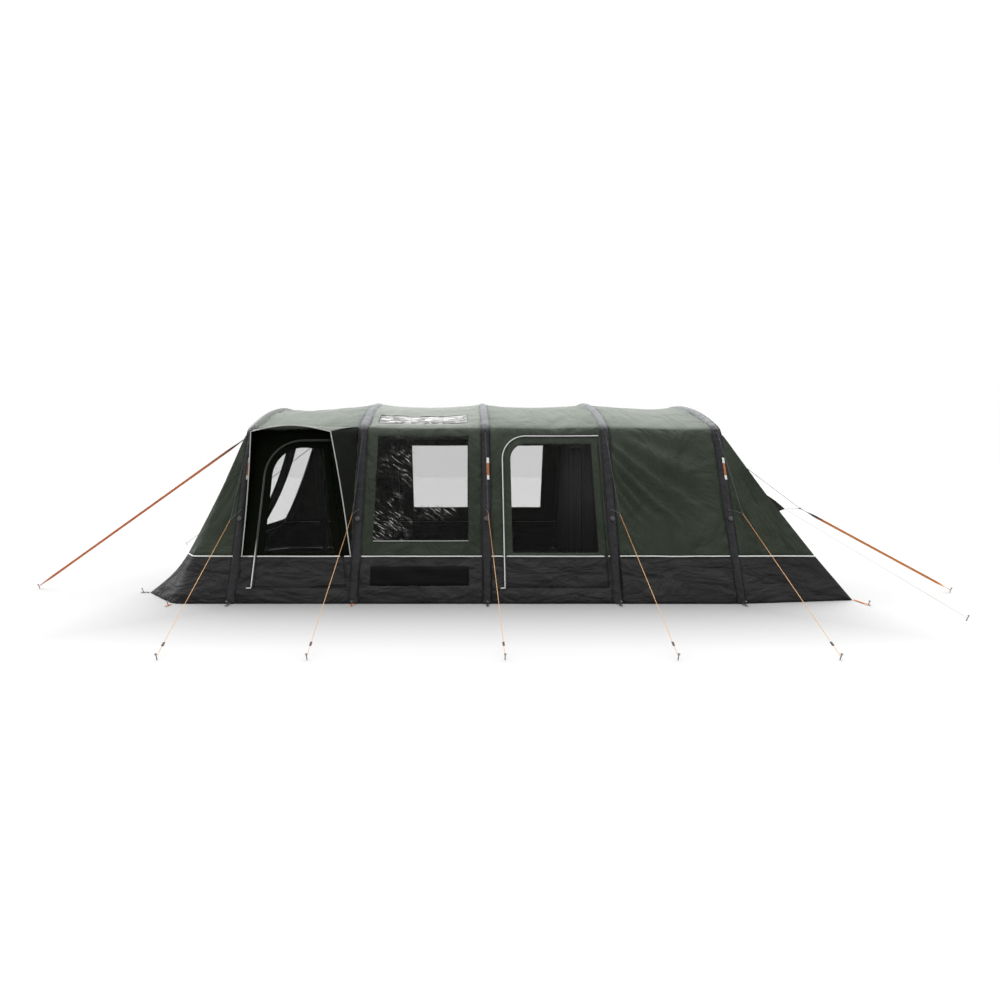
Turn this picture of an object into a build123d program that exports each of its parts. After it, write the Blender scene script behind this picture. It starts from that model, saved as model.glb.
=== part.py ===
"""Inflatable tunnel tent: five air beams in sleeves carry a flysheet of four bays, with a sloping end at the
front and at the rear. The near side (-Y) has a hooded porch door, a large clear window and a side door. The far
side (+Y) has two windows. A bedroom hangs inside the rear. Guy lines and storm straps run out to pegs.

Frame: millimetres, +X along the tunnel towards the rear, +Z up, the origin on the ground below the middle of
the flysheet's footprint. Fabric is drawn FABRIC thick, so that it is a solid that can carry a load.
"""

import os
from math import cos, radians, sin, sqrt, tan

from build123d import *

os.makedirs("parts", exist_ok=True)

# Tunnel cross-section
HALF_WIDTH = 2050.0  # footprint, at the fabric's outer face
RIDGE = 2150.0
LEG_LEAN = radians(19.2)  # legs lean inwards from the vertical
ROOF_RADIUS = 2900.0
SHOULDER_RADIUS = 200.0
FABRIC = 4.0
EDGE_GAP = 5.0  # seam allowance between panels that meet at an angle

# Air beams
BEAM_X = (-2500.0, -1288.0, 32.0, 1326.0, 2536.0)
SLEEVE_RADIUS = 55.0
SLEEVE_WALL = 3.0
BLADDER_RADIUS = 51.0
BLADDER_WALL = 2.0
BEAM_INSET = 35.0  # beam centre behind the fabric's outer face
PANEL_EDGE = 50.0  # a bay's panels stop this far from the beam's centre plane
END_EDGE = 61.0  # the front and rear walls start this far from it
BLADDER_END = 20.0  # the bladder's sealed end stands this far off the ground

# Heights
MUD_TOP = 445.0
SEAM_GAP = 2.0
SILL = 146.0  # doors open down to here

# Ends
FRONT_TOE, FRONT_TOE_Y = -3560.0, 1530.0
FRONT_KINK, FRONT_KINK_Y = -3080.0, 1680.0  # where the front wall's edge meets its mud wall
FRONT_CORNER = -3073.0  # near and far base corners of the front
REAR_TOE, REAR_TOE_Y = 3730.0, 1890.0
REAR_KINK, REAR_KINK_Y = 3355.0, 1880.0

# D-shaped doors: zip edge, hinge edge at the foot and at the top, foot, top, radius of the zip's corner
SIDE_DOOR = (213.0, 1248.0, 1248.0, SILL, 1680.0, 250.0)
PORCH_DOOR = (-2310.0, -1366.0, -1640.0, SILL, 1640.0, 380.0)
DOOR_GAP = 4.0
DOOR_FRAME = 80.0  # fabric band round a door's window
WINDOW_SILL = 480.0

# Windows: low X, high X, sill, head
SIDE_WINDOW = (-1125.0, -155.0, 594.0, 1680.0)
LOW_VENT = (-1130.0, -150.0, 165.0, 343.0)
FAR_WINDOWS = ((-1015.0, -148.0, 690.0, 1675.0), (163.0, 1030.0, 690.0, 1675.0))
FRONT_WINDOWS = ((-1310.0, -230.0, 555.0, 1625.0), (180.0, 1310.0, 555.0, 1625.0))  # in Y
ROOF_LIGHT_X = (-1150.0, -165.0)
ROOF_LIGHT_Y = (1040.0, 1320.0)
PANE = 2.0
PANE_GAP = 1.0

# Valves
VALVE_HEIGHT = 795.0
VALVE_RADIUS, VALVE_STEM_RADIUS, VALVE_BODY = 26.0, 12.0, 16.0
CAP_RADIUS, CAP_HEIGHT, CAP_GAP = 23.0, 12.0, 0.5

# Guy lines
LINE_RADIUS, LEG_RADIUS = 2.25, 1.75
JUNCTION_Y, JUNCTION_Z = 2090.0, (830.0, 895.0, 895.0, 895.0, 895.0)
JUNCTION_RADIUS = 9.0
GUY_TOP_Z = 1690.0
PEG_X = (-2349.0, -1297.0, 93.0, 1307.0, 2444.0)
PEG_Y = 3760.0
PEG_RADIUS, PEG_HEIGHT, PEG_HEAD_RADIUS, PEG_HEAD = 3.5, 48.0, 9.0, 5.0
PEG_RAKE = 25.0  # degrees, away from the tent
LINE_ON_PEG = 24.0  # height of the line's loop on its peg
STRAP_WIDTH, STRAP_THICK = 25.0, 2.5
FRONT_STRAP_PEG = (-4901.0, 1300.0)
FAR_FRONT_STRAP_PEG = (-4950.0, 2360.0)  # pitched wider than the near one
REAR_STRAP_PEG = (5025.0, 1500.0)
REAR_LINE_PEG = (4209.0, 2700.0)
FRONT_TAB_Y, FRONT_TAB_DOWN = 1436.0, 65.0  # half span, and distance down the slope from the shoulders
REAR_TAB_Y, REAR_TAB_DOWN = 1550.0, 446.0
STORM_JUNCTION = (3332.0, 1650.0, 912.0)
RUNNER_LENGTH, RUNNER_WIDTH, RUNNER_THICK, RUNNER_CLEARANCE = 34.0, 16.0, 9.0, 0.08
RUNNER_FROM_PEG = 110.0
TAB_SIZE = (14.0, 22.0, 8.0)  # along the tunnel, along the beam, proud of the sleeve

SIDE_PEG_X = 3100.0  # pegs nearer the middle than this rake sideways, and the others rake along the tunnel

PORCH_LIP = (-1650.0, 1755.0)  # Y and Z of the porch hood's lip

# Rear vent hood
HOOD_HALF = 1640.0
HOOD_TOP_Z, HOOD_TIP_X, HOOD_TIP_Z = 1050.0, 3180.0, 905.0
VENT_MESH_Z = (910.0, 1020.0)
VENT_MESH_HALF = 1500.0

# Bedroom
BEDROOM_FRONT = 1300.0
BEDROOM_INSET = 130.0
BEDROOM_FLOOR_Z = 8.0
BEDROOM_DOOR = (-330.0, 620.0, 620.0, 140.0, 1600.0, 250.0)  # its edges in Y


def leg_y(z, inset=0.0):
    """Half-width of the tunnel at height z on its straight leg."""
    return HALF_WIDTH - inset / cos(LEG_LEAN) - z * tan(LEG_LEAN)


def leg_meets_roof(inset):
    """(y, z) where the leg's line crosses the roof's circle, both moved inwards by inset."""
    slope, foot = tan(LEG_LEAN), leg_y(0.0, inset)
    centre, radius = RIDGE - ROOF_RADIUS, ROOF_RADIUS - inset
    half_b = foot * slope + centre
    c = foot**2 + centre**2 - radius**2
    z = (half_b + sqrt(half_b**2 - (1 + slope**2) * c)) / (1 + slope**2)
    return foot - slope * z, z


def shoulder_points(inset):
    """The shoulder arc's lower end, middle and upper end, as (y, z)."""
    cy, cz = leg_meets_roof(SHOULDER_RADIUS)
    radius = SHOULDER_RADIUS - inset
    leg_normal = Vector(cos(LEG_LEAN), sin(LEG_LEAN))
    roof_normal = Vector(cy, cz - (RIDGE - ROOF_RADIUS)).normalized()
    middle = (leg_normal + roof_normal).normalized()
    return [(cy + radius * n.X, cz + radius * n.Y) for n in (leg_normal, middle, roof_normal)]


def roof_z(y, inset=0.0):
    """Height of the roof's arc at half-width y."""
    return RIDGE - ROOF_RADIUS + sqrt((ROOF_RADIUS - inset) ** 2 - y**2)


def mirrored(point):
    return (-point[0], point[1])


def arch_lines(inset, foot_z=0.0):
    """Draws the open cross-section line, from the near foot over the roof to the far foot."""
    low, middle, high = shoulder_points(inset)
    foot = (leg_y(foot_z, inset), foot_z)
    Line(mirrored(foot), mirrored(low))
    ThreePointArc(mirrored(low), mirrored(middle), mirrored(high))
    ThreePointArc(mirrored(high), (0, RIDGE - inset), high)
    ThreePointArc(high, middle, low)
    Line(low, foot)


SHOULDER_Z = shoulder_points(0.0)[0][1]  # wall panels end here and the roof begins
LEG_UP = Vector(0, sin(LEG_LEAN), cos(LEG_LEAN))  # up the near wall
NEAR_NORMAL = Vector(0, -cos(LEG_LEAN), sin(LEG_LEAN))  # out of the near wall


def plate(points, margin=EDGE_GAP, thickness=FABRIC):
    """A flat panel. Its corners run anticlockwise seen from outside."""
    corners = [Vector(*p) for p in points]
    normal = (corners[1] - corners[0]).cross(corners[2] - corners[0])
    plane = Plane(origin=corners[0], x_dir=corners[1] - corners[0], z_dir=normal)
    flat = [plane.to_local_coords(c) for c in corners]
    with BuildPart() as panel:
        with BuildSketch(plane):
            with BuildLine():
                Polyline(*[(v.X, v.Y) for v in flat], close=True)
            make_face()
            offset(amount=-margin, kind=Kind.INTERSECTION)
        extrude(amount=-thickness)
    return panel.part


def wall(x_low, x_high, z_low, z_high, side, inset=0.0, thickness=FABRIC):
    """A flat panel of the side wall, side -1 near and +1 far."""
    outer = [(side * leg_y(z, inset), z) for z in (z_low, z_high)]
    inner = [(side * leg_y(z, inset + thickness), z) for z in (z_high, z_low)]
    with BuildPart() as panel:
        with BuildSketch(Plane.YZ.offset(x_low)):
            with BuildLine():
                Polyline(*outer, *inner, close=True)
            make_face()
        extrude(amount=x_high - x_low)
    return panel.part


def rectangle_xz(x_low, x_high, z_low, z_high):
    """Draws a filled rectangle between these limits in the current sketch."""
    with Locations(((x_low + x_high) / 2, (z_low + z_high) / 2)):
        Rectangle(x_high - x_low, z_high - z_low)


def door_region(zip_at, hinge_low, hinge_high, low, high, radius, inset=0.0):
    """A D-shaped door: its zip side has the rounded top corner. inset shrinks it all round."""
    away = 1.0 if hinge_low > zip_at else -1.0
    with BuildSketch() as region:
        with BuildLine():
            Line((hinge_low, low), (zip_at, low))
            Line((zip_at, low), (zip_at, high - radius))
            RadiusArc((zip_at, high - radius), (zip_at + away * radius, high), away * radius)
            Line((zip_at + away * radius, high), (hinge_high, high))
            Line((hinge_high, high), (hinge_low, low))
        make_face()
        if inset:
            offset(amount=-inset, kind=Kind.INTERSECTION)
    return region.sketch


def cut_near(amount=2500.0):
    """Cuts the pending sketch on Plane.XZ through the near side of the current part."""
    extrude(amount=amount, mode=Mode.SUBTRACT)


def save(part, name):
    part.label = name
    export_step(part, f"parts/{name}.step")


def rod_between(start, end, radius):
    """A straight round rod."""
    start, end = Vector(*start), Vector(*end)
    with BuildPart() as rod:
        with BuildSketch(Plane(origin=start, z_dir=end - start)):
            Circle(radius)
        extrude(amount=(end - start).length)
    return rod.part


def strap_between(start, end, width=STRAP_WIDTH, thickness=STRAP_THICK):
    """A straight flat strap with its width level."""
    start, end = Vector(*start), Vector(*end)
    run = end - start
    with BuildPart() as strap:
        with BuildSketch(Plane(origin=start, x_dir=run.cross(Vector(0, 0, 1)), z_dir=run)):
            Rectangle(width, thickness)
        extrude(amount=run.length)
    return strap.part


def along(start, end, distance):
    """The point that far from start towards end."""
    start, end = Vector(*start), Vector(*end)
    return start + (end - start).normalized() * distance


def both_sides(point):
    """A near-side point, given with positive Y, and its far-side twin."""
    x, y, z = point
    return ((x, -y, z), (x, y, z))


# ---------------------------------------------------------------- air beams and sleeves
def valve_plane(x, depth=0.0):
    """Plane at a beam's valve, facing out of the near wall, that far outside the beam's centreline."""
    centre = Vector(x, -leg_y(VALVE_HEIGHT, BEAM_INSET), VALVE_HEIGHT)
    return Plane(origin=centre + NEAR_NORMAL * depth, x_dir=(1, 0, 0), z_dir=NEAR_NORMAL)


def arch_tube(x, radius, foot_z):
    """A solid tube along a beam's centreline, cut level at foot_z."""
    with BuildPart() as tube:
        with BuildLine(Plane.YZ.offset(x)) as path:
            arch_lines(BEAM_INSET, foot_z=-radius)
        with BuildSketch(Plane(origin=path.line @ 0, z_dir=path.line % 0)):
            Circle(radius)
        sweep(path=path.line)
        split(bisect_by=Plane.XY.offset(foot_z), keep=Keep.TOP)
    return tube.part


def hollow_arch(x, radius, wall, foot_z, sealed):
    """A tube with a wall; a sealed one is closed at its feet."""
    with BuildPart() as tube:
        add(arch_tube(x, radius, foot_z))
        add(arch_tube(x, radius - wall, foot_z + (wall if sealed else -1.0)), mode=Mode.SUBTRACT)
    return tube.part


with BuildPart() as air_beams:
    for x in BEAM_X:
        add(hollow_arch(x, BLADDER_RADIUS, BLADDER_WALL, BLADDER_END, sealed=True))
save(air_beams.part, "air_beams")

for number, x in enumerate(BEAM_X, start=1):
    with BuildPart() as sleeve:
        add(hollow_arch(x, SLEEVE_RADIUS, SLEEVE_WALL, 0.0, sealed=False))
        with BuildSketch(valve_plane(x, BLADDER_RADIUS - 8.0)):
            Circle(VALVE_STEM_RADIUS + 1.0)
        extrude(amount=30.0, mode=Mode.SUBTRACT)
    save(sleeve.part, f"beam_sleeve_{number}")

# ---------------------------------------------------------------- valves
with BuildPart() as valve_bodies:
    for x in BEAM_X:
        with BuildPart(mode=Mode.PRIVATE) as valve:
            with BuildSketch(valve_plane(x, BLADDER_RADIUS - 6.0)):
                Circle(VALVE_STEM_RADIUS)
            extrude(amount=12.0)
            with BuildSketch(valve_plane(x, SLEEVE_RADIUS - 8.0)):
                Circle(VALVE_RADIUS)
            extrude(amount=VALVE_BODY + 8.0)
            fillet(valve.faces().sort_by(Axis(valve_plane(x).origin, NEAR_NORMAL))[-1].edges(), 3.0)
        sleeve_space = arch_tube(x, SLEEVE_RADIUS + 0.5, 0.0)
        with BuildPart(mode=Mode.PRIVATE) as stem:
            with BuildSketch(valve_plane(x, BLADDER_RADIUS + 0.5)):
                Circle(VALVE_STEM_RADIUS)
            extrude(amount=10.0)
        add(valve.part - sleeve_space + stem.part)
save(valve_bodies.part, "valve_bodies")

for number, x in enumerate(BEAM_X, start=1):
    with BuildPart() as cap:
        with BuildSketch(valve_plane(x, SLEEVE_RADIUS + VALVE_BODY + CAP_GAP)):
            Circle(CAP_RADIUS)
        extrude(amount=CAP_HEIGHT)
        top = cap.faces().sort_by(Axis(valve_plane(x).origin, NEAR_NORMAL))[-1]
        fillet(top.edges(), 4.0)
        with BuildSketch(valve_plane(x, SLEEVE_RADIUS + VALVE_BODY + CAP_GAP + CAP_HEIGHT)):
            Rectangle(2 * CAP_RADIUS - 12.0, 5.0)
        extrude(amount=5.0)
    save(cap.part, f"valve_cap_{number}")

# ---------------------------------------------------------------- flysheet bays
BAYS = [(a + PANEL_EDGE, b - PANEL_EDGE) for a, b in zip(BEAM_X, BEAM_X[1:])]
WALL_LOW, WALL_HIGH = MUD_TOP + SEAM_GAP / 2, SHOULDER_Z - 2 * SEAM_GAP


def roof_band(x_low, x_high, inset=0.0, thickness=FABRIC):
    """The roof of one bay, from shoulder to shoulder."""
    outer, inner = shoulder_points(inset), shoulder_points(inset + thickness)
    with BuildPart() as band:
        with BuildSketch(Plane.YZ.offset(x_low)):
            with BuildLine():
                for (low, middle, high), top in ((outer, RIDGE - inset), (inner, RIDGE - inset - thickness)):
                    ThreePointArc(low, middle, high)
                    ThreePointArc(high, (0, top), mirrored(high))
                    ThreePointArc(mirrored(high), mirrored(middle), mirrored(low))
                Line(outer[0], inner[0])
                Line(mirrored(outer[0]), mirrored(inner[0]))
            make_face()
        extrude(amount=x_high - x_low)
    return band.part


def roof_light_areas(gap):
    """Draws the two roof lights' outlines in plan, gap larger all round."""
    width = ROOF_LIGHT_X[1] - ROOF_LIGHT_X[0] + 2 * gap
    depth = ROOF_LIGHT_Y[1] - ROOF_LIGHT_Y[0] + 2 * gap
    middle = sum(ROOF_LIGHT_Y) / 2
    with Locations((sum(ROOF_LIGHT_X) / 2, middle), (sum(ROOF_LIGHT_X) / 2, -middle)):
        Rectangle(width, depth)


with BuildPart() as fly_roof:
    for low, high in BAYS:
        add(roof_band(low, high))
    with BuildSketch(Plane.XY.offset(SHOULDER_Z)):
        roof_light_areas(gap=0.0)
    extrude(amount=RIDGE, mode=Mode.SUBTRACT)
save(fly_roof.part, "fly_roof")

with BuildPart() as wall_a:
    add(wall(*BAYS[0], WALL_LOW, WALL_HIGH, side=-1))
    with BuildSketch(Plane.XZ):
        add(door_region(*PORCH_DOOR))
    cut_near()
save(wall_a.part, "porch_bay_wall")

with BuildPart() as wall_b:
    add(wall(*BAYS[1], WALL_LOW, WALL_HIGH, side=-1))
    with BuildSketch(Plane.XZ):
        rectangle_xz(*SIDE_WINDOW)
    cut_near()
save(wall_b.part, "window_bay_wall")

with BuildPart() as wall_c:
    add(wall(*BAYS[2], WALL_LOW, WALL_HIGH, side=-1))
    with BuildSketch(Plane.XZ):
        add(door_region(*SIDE_DOOR))
    cut_near()
save(wall_c.part, "side_door_bay_wall")

with BuildPart() as wall_d:
    add(wall(*BAYS[3], WALL_LOW, WALL_HIGH, side=-1))
save(wall_d.part, "bedroom_bay_wall")

with BuildPart() as far_walls:
    for low, high in BAYS:
        add(wall(low, high, WALL_LOW, WALL_HIGH, side=1))
    with BuildSketch(Plane.XZ):
        for window in FAR_WINDOWS:
            rectangle_xz(*window)
    extrude(amount=-2500.0, mode=Mode.SUBTRACT)
save(far_walls.part, "far_walls")

# ---------------------------------------------------------------- ends
FRONT_X, REAR_X = BEAM_X[0] - END_EDGE, BEAM_X[-1] + END_EDGE
SHOULDER_Y = leg_y(SHOULDER_Z)


def on_line(start, end, z):
    """The point at height z on the straight line between two points."""
    share = (z - start[2]) / (end[2] - start[2])
    return tuple(a + (b - a) * share for a, b in zip(start, end))


def lunette(x_low, x_high):
    """The upright half-moon that closes the arch above the shoulders."""
    low, middle, high = shoulder_points(EDGE_GAP)
    with BuildPart() as panel:
        with BuildSketch(Plane.YZ.offset(x_low)):
            with BuildLine():
                Line(mirrored(low), low)
                ThreePointArc(low, middle, high)
                ThreePointArc(high, (0, RIDGE - EDGE_GAP), mirrored(high))
                ThreePointArc(mirrored(high), mirrored(middle), mirrored(low))
            make_face()
        extrude(amount=x_high - x_low)
    return panel.part


front_top = (FRONT_X, SHOULDER_Y, SHOULDER_Z)
front_kink = (FRONT_KINK, FRONT_KINK_Y, MUD_TOP)
front_toe = (FRONT_TOE, FRONT_TOE_Y, 0.0)
front_corner = (FRONT_CORNER, HALF_WIDTH, 0.0)
beam_foot_front = (FRONT_X, HALF_WIDTH, 0.0)
rear_top = (REAR_X, SHOULDER_Y, SHOULDER_Z)
rear_toe = (REAR_TOE, REAR_TOE_Y, 0.0)
rear_mud = (REAR_KINK, REAR_KINK_Y, MUD_TOP)
beam_foot_rear = (REAR_X, HALF_WIDTH, 0.0)
corner_mud = on_line(front_top, front_corner, MUD_TOP)


def near(point):
    return (point[0], -point[1], point[2])


def add_plate_pair(points):
    """Adds a near-side panel, given with positive Y and clockwise from outside, and its far-side twin."""
    add(plate([near(p) for p in points]))
    add(plate(list(reversed(points))))


FRONT_SLOPE = [near(front_top), near(front_kink), front_kink, front_top]
FRONT_FLARE = [near(front_kink), near(front_toe), front_toe, front_kink]

with BuildPart() as front_wall:
    add(lunette(FRONT_X, FRONT_X + FABRIC))
    add(plate(list(reversed(FRONT_SLOPE))))
    with BuildSketch(Plane.YZ.offset(FRONT_TOE - 10.0)):
        for window in FRONT_WINDOWS:
            rectangle_xz(*window)
    extrude(amount=FRONT_X - FRONT_TOE, mode=Mode.SUBTRACT)
save(front_wall.part, "front_wall")

with BuildPart() as rear_wall:
    add(lunette(REAR_X - FABRIC, REAR_X))
    add(plate([near(rear_top), near(rear_mud), rear_mud, rear_top]))
    with BuildSketch(Plane.YZ.offset(REAR_X + 10.0)):
        with Locations((0, sum(VENT_MESH_Z) / 2)):
            Rectangle(2 * VENT_MESH_HALF, VENT_MESH_Z[1] - VENT_MESH_Z[0])
    extrude(amount=1500.0, mode=Mode.SUBTRACT)
save(rear_wall.part, "rear_wall")

with BuildPart() as end_corners:
    add_plate_pair([front_top, on_line(front_top, beam_foot_front, MUD_TOP), corner_mud])
    add_plate_pair([front_top, corner_mud, front_kink])
    add_plate_pair([rear_top, rear_mud, on_line(rear_top, beam_foot_rear, MUD_TOP)])
save(end_corners.part, "end_corners")

# ---------------------------------------------------------------- mud wall and groundsheet
MUD_HIGH = MUD_TOP - SEAM_GAP / 2

with BuildPart() as mud_wall_near:
    for low, high in BAYS:
        add(wall(low, high, 0.0, MUD_HIGH, side=-1))
    with BuildSketch(Plane.XZ):
        add(door_region(*PORCH_DOOR))
        add(door_region(*SIDE_DOOR))
        rectangle_xz(*LOW_VENT)
    cut_near()
save(mud_wall_near.part, "mud_wall_near")

with BuildPart() as mud_wall_far:
    for low, high in BAYS:
        add(wall(low, high, 0.0, MUD_HIGH, side=1))
save(mud_wall_far.part, "mud_wall_far")

with BuildPart() as mud_wall_front:
    add(plate(list(reversed(FRONT_FLARE))))
    add_plate_pair([on_line(front_top, beam_foot_front, MUD_TOP), beam_foot_front, front_corner, corner_mud])
    add_plate_pair([corner_mud, front_corner, front_kink])
    add_plate_pair([front_kink, front_corner, front_toe])
save(mud_wall_front.part, "mud_wall_front")

with BuildPart() as mud_wall_rear:
    add(plate([near(rear_mud), near(rear_toe), rear_toe, rear_mud]))
    add_plate_pair([on_line(rear_top, beam_foot_rear, MUD_TOP), rear_mud, beam_foot_rear])
    add_plate_pair([rear_mud, rear_toe, beam_foot_rear])
save(mud_wall_rear.part, "mud_wall_rear")

GROUND_THICK, GROUND_GAP = 3.0, 12.0
with BuildPart() as groundsheet:
    with BuildSketch():
        with BuildLine():
            outline = [front_toe, front_corner, beam_foot_rear, rear_toe]
            Polyline(*[(x, -y) for x, y, _ in outline], *[(x, y) for x, y, _ in reversed(outline)], close=True)
        make_face()
        offset(amount=-GROUND_GAP, kind=Kind.INTERSECTION)
        for x in BEAM_X:
            with Locations((x, HALF_WIDTH - BEAM_INSET), (x, -HALF_WIDTH + BEAM_INSET)):
                Rectangle(2 * SLEEVE_RADIUS + 6.0, 2 * SLEEVE_RADIUS + 30.0, mode=Mode.SUBTRACT)
    extrude(amount=GROUND_THICK)
save(groundsheet.part, "groundsheet")

# ---------------------------------------------------------------- windows, roof lights and vents
with BuildPart() as side_window:
    x_low, x_high, z_low, z_high = SIDE_WINDOW
    limits = (x_low + PANE_GAP, x_high - PANE_GAP, z_low + PANE_GAP, z_high - PANE_GAP)
    add(wall(*limits, side=-1, inset=1.0, thickness=PANE))
save(side_window.part, "side_window")

with BuildPart(mode=Mode.PRIVATE) as front_windows:
    add(plate(list(reversed([(x + 1.0, y, z) for x, y, z in FRONT_SLOPE])), thickness=PANE))
    with BuildSketch(Plane.YZ.offset(FRONT_TOE - 10.0)):
        for y_low, y_high, z_low, z_high in FRONT_WINDOWS:
            rectangle_xz(y_low + PANE_GAP, y_high - PANE_GAP, z_low + PANE_GAP, z_high - PANE_GAP)
    extrude(amount=FRONT_X - FRONT_TOE, mode=Mode.INTERSECT)

with BuildPart() as end_and_far_windows:
    for x_low, x_high, z_low, z_high in FAR_WINDOWS:
        limits = (x_low + PANE_GAP, x_high - PANE_GAP, z_low + PANE_GAP, z_high - PANE_GAP)
        add(wall(*limits, side=1, inset=1.0, thickness=PANE))
    add(front_windows.part)
save(end_and_far_windows.part, "front_and_far_windows")

with BuildPart() as roof_lights:
    add(roof_band(*BAYS[1], inset=1.0, thickness=PANE))
    with BuildSketch(Plane.XY.offset(SHOULDER_Z)):
        roof_light_areas(gap=-PANE_GAP)
    extrude(amount=RIDGE, mode=Mode.INTERSECT)
save(roof_lights.part, "roof_lights")

with BuildPart(mode=Mode.PRIVATE) as rear_vent_mesh:
    add(plate([(x - 1.0, y, z) for x, y, z in (near(rear_top), near(rear_mud), rear_mud, rear_top)],
              thickness=PANE))
    with BuildSketch(Plane.YZ.offset(REAR_X)):
        with Locations((0, sum(VENT_MESH_Z) / 2)):
            Rectangle(2 * (VENT_MESH_HALF - PANE_GAP), VENT_MESH_Z[1] - VENT_MESH_Z[0] - 2 * PANE_GAP)
    extrude(amount=1500.0, mode=Mode.INTERSECT)

with BuildPart() as vent_meshes:
    x_low, x_high, z_low, z_high = LOW_VENT
    limits = (x_low + PANE_GAP, x_high - PANE_GAP, z_low + PANE_GAP, z_high - PANE_GAP)
    add(wall(*limits, side=-1, inset=1.0, thickness=PANE))
    add(rear_vent_mesh.part)
save(vent_meshes.part, "vent_meshes")

REAR_SLOPE = (REAR_KINK - REAR_X) / (SHOULDER_Z - MUD_TOP)  # how far the rear wall runs back per millimetre down


def rear_wall_x(z, outside=0.0):
    """X of the rear wall's outer face at height z, or of a plane that far outside it."""
    return REAR_KINK + REAR_SLOPE * (MUD_TOP - z) + outside * sqrt(1 + REAR_SLOPE**2)


with BuildPart() as rear_vent_hood:
    with BuildSketch(Plane.XZ.offset(-HOOD_HALF)) as hood_profile:
        with BuildLine():
            Polyline((rear_wall_x(HOOD_TOP_Z, 1.0), HOOD_TOP_Z), (HOOD_TIP_X, HOOD_TIP_Z),
                     (rear_wall_x(HOOD_TIP_Z - 30.0, 1.0), HOOD_TIP_Z - 30.0), close=True)
        make_face()
    extrude(amount=2 * HOOD_HALF)
    with BuildSketch(Plane.XZ.offset(-HOOD_HALF + FABRIC)):
        with BuildLine():
            Polyline((rear_wall_x(HOOD_TOP_Z, -20.0), HOOD_TOP_Z), (HOOD_TIP_X, HOOD_TIP_Z - FABRIC - 2.0),
                     (rear_wall_x(HOOD_TIP_Z - 60.0, -20.0), HOOD_TIP_Z - 60.0), close=True)
        make_face()
    extrude(amount=2 * (HOOD_HALF - FABRIC), mode=Mode.SUBTRACT)
save(rear_vent_hood.part, "rear_vent_hood")

# ---------------------------------------------------------------- near-side doors
def near_door(door, inset, hole_inset):
    """A door's fabric in the near wall: the D inset all round, less a window above the mud wall."""
    zip_at, hinge_low, _, low, high, _ = door
    with BuildPart() as panel:
        add(wall(zip_at, hinge_low, low, high, side=-1))
        with BuildSketch(Plane.XZ):
            add(door_region(*door, inset=inset))
        extrude(amount=2500.0, mode=Mode.INTERSECT)
        with BuildSketch(Plane.XZ):
            add(door_region(*door, inset=hole_inset))
            with Locations((zip_at, low + (WINDOW_SILL - low) / 2)):
                Rectangle(5000.0, WINDOW_SILL - low, mode=Mode.SUBTRACT)
        cut_near()
    return panel.part


def near_door_window(door, inset):
    zip_at, hinge_low, _, _, high, _ = door
    with BuildPart() as pane:
        add(wall(zip_at, hinge_low, WINDOW_SILL + PANE_GAP, high, side=-1, inset=1.0, thickness=PANE))
        with BuildSketch(Plane.XZ):
            add(door_region(*door, inset=inset))
        extrude(amount=2500.0, mode=Mode.INTERSECT)
    return pane.part


for door, name in ((SIDE_DOOR, "side_door"), (PORCH_DOOR, "porch_door")):
    save(near_door(door, DOOR_GAP, DOOR_GAP + DOOR_FRAME), name)
    save(near_door_window(door, DOOR_GAP + DOOR_FRAME + PANE_GAP), f"{name}_window")

    with BuildPart() as zip_slider:
        foot = Vector(door[0] + DOOR_GAP + 9.0, -leg_y(SILL + 60.0), SILL + 60.0) + NEAR_NORMAL * 0.4
        with BuildSketch(Plane(origin=foot, x_dir=(1, 0, 0), z_dir=NEAR_NORMAL)):
            RectangleRounded(12.0, 26.0, 3.0)
        extrude(amount=7.0)
        with BuildSketch(Plane(origin=foot - LEG_UP * 30.0, x_dir=(1, 0, 0), z_dir=NEAR_NORMAL)):
            RectangleRounded(8.0, 44.0, 3.0)
        extrude(amount=2.5)
    save(zip_slider.part, f"{name}_zip_slider")

def porch_hood_panels():
    """The hood over the porch door: a top that runs out to a lip, and a side panel at each end."""
    back_high = (-1414.0, 1792.0)  # (Y, Z) just outside the shoulder
    back_low = (-leg_y(1700.0, -9.0), 1700.0)
    foot = (-leg_y(MUD_TOP + 10.0, -9.0), MUD_TOP + 10.0)
    left, right, lip_right = BAYS[0][0] + 10.0, BAYS[0][1] - 7.0, PORCH_DOOR[2] + 38.0
    with BuildPart() as panels:
        add(plate([(left, *back_high), (left, *PORCH_LIP), (lip_right, *PORCH_LIP), (right, *back_high)]))
        add(plate([(right, *back_low), (lip_right, *PORCH_LIP), (right, *foot)]))
        add(plate([(left, *back_low), (left, *foot), (left, *PORCH_LIP)]))
    return panels.part


with BuildPart() as porch_hood:
    add(porch_hood_panels())
save(porch_hood.part, "porch_hood")

# ---------------------------------------------------------------- bedroom
def bedroom_volume(front, inset, foot_z):
    """The solid that fills the tunnel from front to the rear wall, that far inside the flysheet."""
    with BuildPart() as volume:
        with BuildSketch(Plane.YZ.offset(front)):
            with BuildLine():
                arch_lines(inset, foot_z=foot_z)
                Line((-leg_y(foot_z, inset), foot_z), (leg_y(foot_z, inset), foot_z))
            make_face()
        extrude(amount=REAR_TOE - front)
        with BuildSketch(Plane.XZ):
            with BuildLine():
                back = [(rear_wall_x(z, -inset), z) for z in (foot_z - 10.0, RIDGE)]
                Polyline((front - 10.0, foot_z - 10.0), *back, (front - 10.0, RIDGE), close=True)
            make_face()
        extrude(amount=HALF_WIDTH, both=True, mode=Mode.INTERSECT)
    return volume.part


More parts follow.
